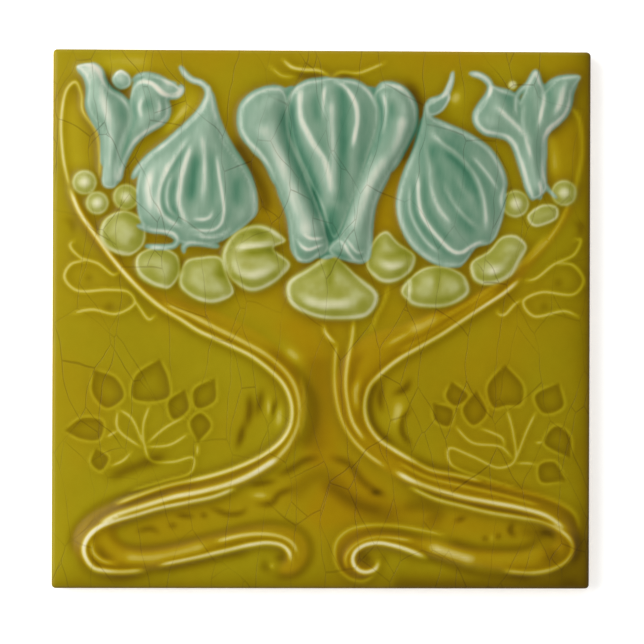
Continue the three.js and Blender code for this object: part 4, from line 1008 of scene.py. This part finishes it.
def makeTile(relief):
    bm = bmesh.new()
    for name in ("poolAndPaintedLight", "flower", "leaf", "amber"):
        bm.verts.layers.float.new(name)
    makeFace(bm, relief)
    faceCount = len(bm.faces)
    makeSides(bm)
    makeBack(bm)
    bmesh.ops.recalc_face_normals(bm, faces=bm.faces)
    bareHeight = tile["sideHeights"][-1] + tile["grooveDepth"]
    for f in bm.faces:
        f.smooth = True
        f.material_index = 1 if max(v.co.z for v in f.verts) <= bareHeight else 0
    for e in bm.edges:
        if len(e.link_faces) == 2 and e.calc_face_angle() > math.radians(tile["sharpAngle"]):
            e.smooth = False
    openEdges = sum(not e.is_manifold for e in bm.edges)
    print("tile mesh:", len(bm.faces), "faces,", faceCount, "of them on the face,", openEdges, "open edges")
    bmesh.ops.scale(bm, vec=(mm, mm, mm), verts=bm.verts)
    mesh = bpy.data.meshes.new("reliefTile")
    bm.to_mesh(mesh)
    bm.free()
    piece = bpy.data.objects.new("reliefTile", mesh)
    bpy.context.scene.collection.objects.link(piece)
    return piece


print("pressing the relief")
relief = pressRelief()
print("relief up to", round(float(relief["height"].max()), 2), "mm")
reliefTile = makeTile(relief)


# Materials

def linear(red, green, blue):
    # a tone given in 0 to 255, as the shader wants it
    tones = [tone / 255 for tone in (red, green, blue)]
    return (*[t / 12.92 if t <= 0.04045 else ((t + 0.055) / 1.055) ** 2.4 for t in tones], 1)


def addNode(tree, kind, settings=None, **links):
    # a node with its settings, and its inputs set or linked; an input is named or numbered (i3 is the fourth)
    node = tree.nodes.new("ShaderNode" + kind)
    for name, value in (settings or {}).items():
        setattr(node, name, value)
    for name, value in links.items():
        numbered = name[0] == "i" and name[1:].isdigit()
        socket = node.inputs[int(name[1:]) if numbered else name.replace("_", " ")]
        if isinstance(value, bpy.types.NodeSocket):
            tree.links.new(value, socket)
        else:
            socket.default_value = value
    return node


def addRamp(tree, value, stops):
    node = addNode(tree, "ValToRGB", Fac=value)
    ramp = node.color_ramp
    ramp.interpolation = "LINEAR"
    while len(ramp.elements) < len(stops):
        ramp.elements.new(0.5)
    for element, (position, tone) in zip(ramp.elements, stops):
        element.position = position
        element.color = (*[glazes["strength"] * t for t in linear(*tone)[:3]], 1)
    return node.outputs["Color"]


def addRange(tree, value, low, high, outLow=0.0, outHigh=1.0):
    return addNode(
        tree, "MapRange", None, Value=value, From_Min=low, From_Max=high, To_Min=outLow, To_Max=outHigh
    ).outputs[0]


def mixColours(tree, factor, first, second, blend="MIX"):
    node = addNode(tree, "Mix", {"data_type": "RGBA", "blend_type": blend}, i0=factor, i6=first, i7=second)
    return node.outputs[2]


def calculate(tree, operation, *values):
    node = addNode(tree, "Math", {"operation": operation}, **{f"i{i}": v for i, v in enumerate(values)})
    return node.outputs[0]


def moveVector(tree, operation, **links):
    return addNode(tree, "VectorMath", {"operation": operation}, **links).outputs[0]


def startGroup(name, inputs, outputs):
    group = bpy.data.node_groups.new(name, "ShaderNodeTree")
    for label, kind, value in inputs:
        socket = group.interface.new_socket(name=label, in_out="INPUT", socket_type=kind)
        if value is not None:
            socket.default_value = value
    for label, kind in outputs:
        group.interface.new_socket(name=label, in_out="OUTPUT", socket_type=kind)
    return group, group.nodes.new("NodeGroupInput"), group.nodes.new("NodeGroupOutput")


def placeGroup(tree, group, **inputs):
    node = tree.nodes.new("ShaderNodeGroup")
    node.node_tree = group
    for name, value in inputs.items():
        if isinstance(value, bpy.types.NodeSocket):
            tree.links.new(value, node.inputs[name])
        else:
            node.inputs[name].default_value = value
    return node


def makeClouding():
    # soft unevenness of glaze and clay: a wide cloud and a fine grain, both round 0
    group, start, end = startGroup(
        "clouding",
        [("Vector", "NodeSocketVector", None), ("Cloud", "NodeSocketFloat", 60.0),
         ("Grain", "NodeSocketFloat", 900.0)],
        [("Cloud", "NodeSocketFloat"), ("Grain", "NodeSocketFloat")],
    )
    for label, detail in (("Cloud", 3.0), ("Grain", 2.0)):
        noise = addNode(
            group, "TexNoise", None, Vector=start.outputs["Vector"], Scale=start.outputs[label],
            Detail=detail, Roughness=0.55,
        )
        group.links.new(calculate(group, "SUBTRACT", noise.outputs[0], 0.5), end.inputs[label])
    return group


clouding = makeClouding()

crazing = {
    "bends": ((30.0, 0.0105), (100.0, 0.0026)),  # waves a metre, and metres that the cracks wander
    # of the long cracks, then of the short ones between them: metres apart, turn in radians, stretch
    "nets": ((0.0105, 0.3, 0.36), (0.0105, -0.8, 0.5)),
    "scatter": 0.75,         # how unlike the cells of a net are
    "crossed": 0.4,          # the share of the long cells that short cracks cross
    "width": 0.00009,        # metres
    "fade": (70.0, 0.35, 0.62, 0.25),  # patches a metre, where they fade and are full, and what is left
}


def addCells(tree, feature, place, size):
    settings = {"feature": feature, "voronoi_dimensions": "2D"}
    return addNode(tree, "TexVoronoi", settings, Vector=place, Scale=1 / size, Randomness=crazing["scatter"])


def makeCrazing():
    # the net of hair cracks in the glaze: long wandering ones, and short ones that end against them
    group, start, end = startGroup(
        "hairCracks", [("Vector", "NodeSocketVector", None)], [("Lines", "NodeSocketFloat")]
    )
    origin = start.outputs["Vector"]
    place = origin
    for scale, amount in crazing["bends"]:
        bend = addNode(group, "TexNoise", None, Vector=origin, Scale=scale, Detail=1.0).outputs["Color"]
        shift = moveVector(group, "SUBTRACT", i0=bend, i1=(0.5, 0.5, 0.5))
        shift = moveVector(group, "SCALE", i0=shift, Scale=amount)
        place = moveVector(group, "ADD", i0=place, i1=shift)
    nets = []
    for size, turn, stretch in crazing["nets"]:
        turned = addNode(
            group, "Mapping", {"vector_type": "POINT"}, Vector=place, Rotation=(0, 0, turn),
            Scale=(1, stretch, 0.2),
        ).outputs[0]
        edges = addCells(group, "DISTANCE_TO_EDGE", turned, size).outputs["Distance"]
        width = crazing["width"] / size
        nets.append((size, turned, addRange(group, edges, width * 1.5, width * 0.5)))
    (size, turned, longLines), (_, _, shortLines) = nets
    cells = addCells(group, "F1", turned, size).outputs["Color"]
    chance = addNode(group, "SeparateColor", None, Color=cells).outputs[0]
    crossed = calculate(group, "LESS_THAN", chance, crazing["crossed"])
    both = calculate(group, "MAXIMUM", longLines, calculate(group, "MULTIPLY", shortLines, crossed))
    scale, low, high, left = crazing["fade"]
    fade = addNode(group, "TexNoise", None, Vector=origin, Scale=scale, Detail=1.0)
    strength = addRange(group, fade.outputs[0], low, high, left)
    group.links.new(calculate(group, "MULTIPLY", both, strength), end.inputs["Lines"])
    return group


hairCracks = makeCrazing()

glazes = {
    "thin": -0.9,            # mm of hollow where the glaze is thinnest, and where it is deepest
    "deep": 0.9,
    # tones from the thinnest to the deepest
    "field": [
        (0.0, (240, 234, 200)), (0.12, (226, 216, 150)), (0.24, (198, 184, 84)), (0.39, (170, 154, 20)),
        (0.5, (156, 140, 8)), (0.61, (141, 123, 1)), (0.78, (118, 97, 0)), (1.0, (92, 70, 0))],
    "amber": [
        (0.0, (244, 238, 214)), (0.12, (228, 216, 156)), (0.24, (202, 181, 82)), (0.39, (176, 147, 12)),
        (0.5, (164, 131, 2)), (0.61, (148, 114, 1)), (0.78, (123, 93, 0)), (1.0, (96, 72, 0))],
    "flower": [
        (0.0, (236, 228, 208)), (0.2, (200, 208, 188)), (0.36, (156, 180, 158)), (0.5, (130, 159, 135)),
        (0.67, (106, 144, 118)), (0.83, (80, 128, 101)), (1.0, (54, 106, 80))],
    "leaf": [
        (0.0, (238, 234, 206)), (0.2, (212, 210, 162)), (0.38, (182, 183, 114)), (0.47, (164, 164, 80)),
        (0.56, (152, 153, 58)), (0.68, (136, 138, 34)), (0.85, (114, 116, 10))],
    "strength": 0.76,        # how light the glazes are
    # how uneven the glaze lies: patches a metre, and mm of depth
    "cloud": (48.0, 0.24),
    "grain": (420.0, 0.07),
    "petalStreaks": (330.0, 0.5),
    "streakStretch": 0.28,
    "leafDabs": (150.0, 0.55),
    "browning": (30.0, 0.42, 0.72, 0.5),  # patches a metre, where they start and are full, and how brown
    "crackTone": (132, 100, 60),
    "crackStrength": 0.36,
    "crackDepth": -0.7,      # both in heights of the bump
    "ripple": (160.0, 0.6),
    "bumpHeight": 0.00006,   # metres
    "roughness": 0.3,
    "specular": 0.07,
    "coatWeight": 0.08,
    "coatRoughness": 0.14,
}

clay = {
    "tone": (216, 196, 160),
    "darkTone": (176, 148, 110),
    "cloud": (70.0, 1.6),    # patches a metre, and how much darker they make it
    "grain": (1400.0, 0.9),
    "evenTone": 0.45,
    "roughness": 0.88,
    "bumpHeight": 0.0003,    # metres
    "rubbed": 4.0,           # how rough it is beside the glaze, in heights of the glaze's bump
    "glazeRunsTo": 0.0052,   # metres over the back: where the glaze stops on the sides
    "runVariation": 0.0026,
    "runs": 130.0,           # runs a metre
    "runEdge": 0.00012,      # metres over which it ends
}


def clayColour(tree, place):
    scale, cloudShare = clay["cloud"]
    grainScale, grainShare = clay["grain"]
    cloud = placeGroup(tree, clouding, Vector=place, Cloud=scale, Grain=grainScale)
    tone = calculate(tree, "MULTIPLY_ADD", cloud.outputs["Cloud"], cloudShare, clay["evenTone"])
    tone = calculate(tree, "MULTIPLY_ADD", cloud.outputs["Grain"], grainShare, tone)
    colour = mixColours(tree, tone, linear(*clay["tone"]), linear(*clay["darkTone"]))
    return colour, cloud.outputs["Grain"]


def startMaterial(name):
    material = bpy.data.materials.new(name)
    material.use_nodes = True
    tree = material.node_tree
    tree.nodes.clear()
    output = tree.nodes.new("ShaderNodeOutputMaterial")
    shader = tree.nodes.new("ShaderNodeBsdfPrincipled")
    tree.links.new(shader.outputs[0], output.inputs[0])
    return material, tree, shader


def glazeThickness(tree, place, poolAndPaintedLight, flower, leaf):
    # 0 where the glaze is thinnest, 1 where it is deepest, painted light and shade included
    cloudScale, cloudDepth = glazes["cloud"]
    grainScale, grainDepth = glazes["grain"]
    cloud = placeGroup(tree, clouding, Vector=place, Cloud=cloudScale, Grain=grainScale)
    uneven = calculate(tree, "MULTIPLY_ADD", cloud.outputs["Cloud"], cloudDepth, poolAndPaintedLight)
    uneven = calculate(tree, "MULTIPLY_ADD", cloud.outputs["Grain"], grainDepth, uneven)
    # on the flowers it was brushed on in streaks down the petals, on the leaves in dabs
    stretch = (1, glazes["streakStretch"], 1)
    brushed = addNode(tree, "Mapping", {"vector_type": "POINT"}, Vector=place, Scale=stretch).outputs[0]
    for mask, spot, name in ((flower, brushed, "petalStreaks"), (leaf, place, "leafDabs")):
        scale, depth = glazes[name]
        dabs = addNode(tree, "TexNoise", None, Vector=spot, Scale=scale, Detail=2.0, Roughness=0.6)
        dabs = calculate(tree, "SUBTRACT", dabs.outputs[0], 0.5)
        dabs = calculate(tree, "MULTIPLY", dabs, calculate(tree, "MULTIPLY", mask, depth))
        uneven = calculate(tree, "ADD", uneven, dabs)
    return addRange(tree, uneven, glazes["thin"], glazes["deep"])


def bareClay(tree, place):
    # 1 where the glaze, which runs down the sides unevenly, has left the clay bare
    height = addNode(tree, "SeparateXYZ", None, Vector=place).outputs["Z"]
    runs = addNode(tree, "TexNoise", None, Vector=place, Scale=clay["runs"], Detail=3.0)
    lowest = clay["glazeRunsTo"] - clay["runVariation"] / 2
    limit = calculate(tree, "MULTIPLY_ADD", runs.outputs[0], clay["runVariation"], lowest)
    return addRange(tree, calculate(tree, "SUBTRACT", limit, height), -clay["runEdge"], clay["runEdge"])


def makeGlaze():
    material, tree, shader = startMaterial("majolicaGlaze")
    place = addNode(tree, "TexCoord").outputs["Object"]
    poolAndPaintedLight, flower, leaf, amber = [
        addNode(tree, "Attribute", {"attribute_name": name}).outputs["Fac"]
        for name in ("poolAndPaintedLight", "flower", "leaf", "amber")
    ]
    thickness = glazeThickness(tree, place, poolAndPaintedLight, flower, leaf)
    field, brown, blue, green = [
        addRamp(tree, thickness, glazes[name]) for name in ("field", "amber", "flower", "leaf")
    ]
    scale, low, high, most = glazes["browning"]
    tint = addNode(tree, "TexNoise", None, Vector=place, Scale=scale, Detail=3.0, Roughness=0.6)
    browned = addRange(tree, tint.outputs[0], low, high, 0.0, most)
    amber = addNode(tree, "Math", {"operation": "ADD", "use_clamp": True}, i0=amber, i1=browned).outputs[0]
    colour = mixColours(tree, amber, field, brown)
    colour = mixColours(tree, leaf, colour, green)
    colour = mixColours(tree, flower, colour, blue)
    cracks = placeGroup(tree, hairCracks, Vector=place).outputs["Lines"]
    cracked = calculate(tree, "MULTIPLY", cracks, glazes["crackStrength"])
    colour = mixColours(tree, cracked, colour, linear(*glazes["crackTone"]), "MULTIPLY")
    bare = bareClay(tree, place)
    bareColour, grain = clayColour(tree, place)
    tree.links.new(mixColours(tree, bare, colour, bareColour), shader.inputs["Base Color"])
    rough = addRange(tree, bare, 0.0, 1.0, glazes["roughness"], clay["roughness"])
    tree.links.new(rough, shader.inputs["Roughness"])
    glossy = addRange(tree, bare, 0.0, 1.0, glazes["coatWeight"], 0.0)
    tree.links.new(glossy, shader.inputs["Coat Weight"])
    shader.inputs["Coat Roughness"].default_value = glazes["coatRoughness"]
    shader.inputs["Specular IOR Level"].default_value = glazes["specular"]
    scale, depth = glazes["ripple"]
    ripple = addNode(tree, "TexNoise", None, Vector=place, Scale=scale, Detail=1.0)
    surface = calculate(tree, "MULTIPLY", ripple.outputs[0], depth)
    surface = calculate(tree, "MULTIPLY_ADD", cracks, glazes["crackDepth"], surface)
    rubbed = calculate(tree, "MULTIPLY", grain, bare)
    surface = calculate(tree, "MULTIPLY_ADD", rubbed, clay["rubbed"], surface)
    relit = addNode(tree, "Bump", None, Height=surface, Strength=1.0, Distance=glazes["bumpHeight"])
    tree.links.new(relit.outputs[0], shader.inputs["Normal"])
    return material


def makeClay():
    material, tree, shader = startMaterial("biscuitClay")
    place = addNode(tree, "TexCoord").outputs["Object"]
    colour, grain = clayColour(tree, place)
    tree.links.new(colour, shader.inputs["Base Color"])
    shader.inputs["Roughness"].default_value = clay["roughness"]
    relit = addNode(tree, "Bump", None, Height=grain, Strength=1.0, Distance=clay["bumpHeight"])
    tree.links.new(relit.outputs[0], shader.inputs["Normal"])
    return material


reliefTile.data.materials.append(makeGlaze())
reliefTile.data.materials.append(makeClay())
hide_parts("tile")
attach(reliefTile, "root")
print("materials made")

# The floor, the lights and the camera
studio = {
    "floorSize": 3.0,
    "floorTone": (246, 246, 245),
    "floorRoughness": 0.9,
    "floorDrop": 0.00002,    # metres that the floor lies under the tile
    "floorGlow": 0.42,
    "worldStrength": 0.18,
    "cameraHeight": 1.0,
    "viewWidth": 0.18222,    # metres across the picture, at the face
    "aim": (0.00004, -0.0007),
    "lean": -0.034,          # metres that the camera stands to the left
    "roll": 0.2,             # degrees
    "lights": [
        # name, place, width, power
        ("keyLight", (-0.39, 0.16, 0.44), 0.6, 3.8),
        ("leftLight", (-1.15, 0, 0.95), 1.5, 5.0),
        ("topLight", (0, 1.15, 0.95), 1.5, 7.0),
        ("rightLight", (1.15, 0, 0.95), 1.5, 3.5),
        ("lowLight", (0, -1.15, 0.95), 1.5, 4.5),
    ],
}


def makeFloor():
    bm = bmesh.new()
    bmesh.ops.create_grid(bm, x_segments=2, y_segments=2, size=studio["floorSize"] / 2)
    bmesh.ops.translate(bm, vec=(0, 0, -studio["floorDrop"]), verts=bm.verts)
    mesh = bpy.data.meshes.new("floor")
    bm.to_mesh(mesh)
    bm.free()
    floor = bpy.data.objects.new("floor", mesh)
    bpy.context.scene.collection.objects.link(floor)
    material, tree, shader = startMaterial("palePaper")
    shader.inputs["Base Color"].default_value = linear(*studio["floorTone"])
    shader.inputs["Roughness"].default_value = studio["floorRoughness"]
    shader.inputs["Emission Color"].default_value = linear(*studio["floorTone"])
    shader.inputs["Emission Strength"].default_value = studio["floorGlow"]
    mesh.materials.append(material)


def makeLights():
    for name, place, size, power in studio["lights"]:
        light = bpy.data.lights.new(name, "AREA")
        light.shape = "DISK"
        light.size = size
        light.energy = power
        lamp = bpy.data.objects.new(name, light)
        lamp.location = place
        lamp.rotation_euler = (-Vector(place)).to_track_quat("-Z", "Y").to_euler()
        bpy.context.scene.collection.objects.link(lamp)
    world = bpy.data.worlds.new("studio")
    world.use_nodes = True
    background = world.node_tree.nodes["Background"]
    background.inputs["Color"].default_value = (1, 1, 1, 1)
    background.inputs["Strength"].default_value = studio["worldStrength"]
    bpy.context.scene.world = world


def makeCamera():
    camera = bpy.data.cameras.new("camera")
    camera.sensor_width = 36
    aim = Vector((*studio["aim"], tile["fieldHeight"] * mm))
    place = Vector((aim.x + studio["lean"], aim.y, aim.z + studio["cameraHeight"]))
    camera.lens = camera.sensor_width * studio["cameraHeight"] / studio["viewWidth"]
    camera.clip_start = 0.01
    stand = bpy.data.objects.new("camera", camera)
    stand.location = place
    stand.rotation_euler = Vector((0, 0, -1)).rotation_difference(aim - place).to_euler()
    stand.rotation_euler.rotate_axis("Z", math.radians(studio["roll"]))
    bpy.context.scene.collection.objects.link(stand)
    bpy.context.scene.camera = stand


makeFloor()
makeLights()
makeCamera()
bpy.context.scene.view_settings.view_transform = "Standard"
print("studio ready")
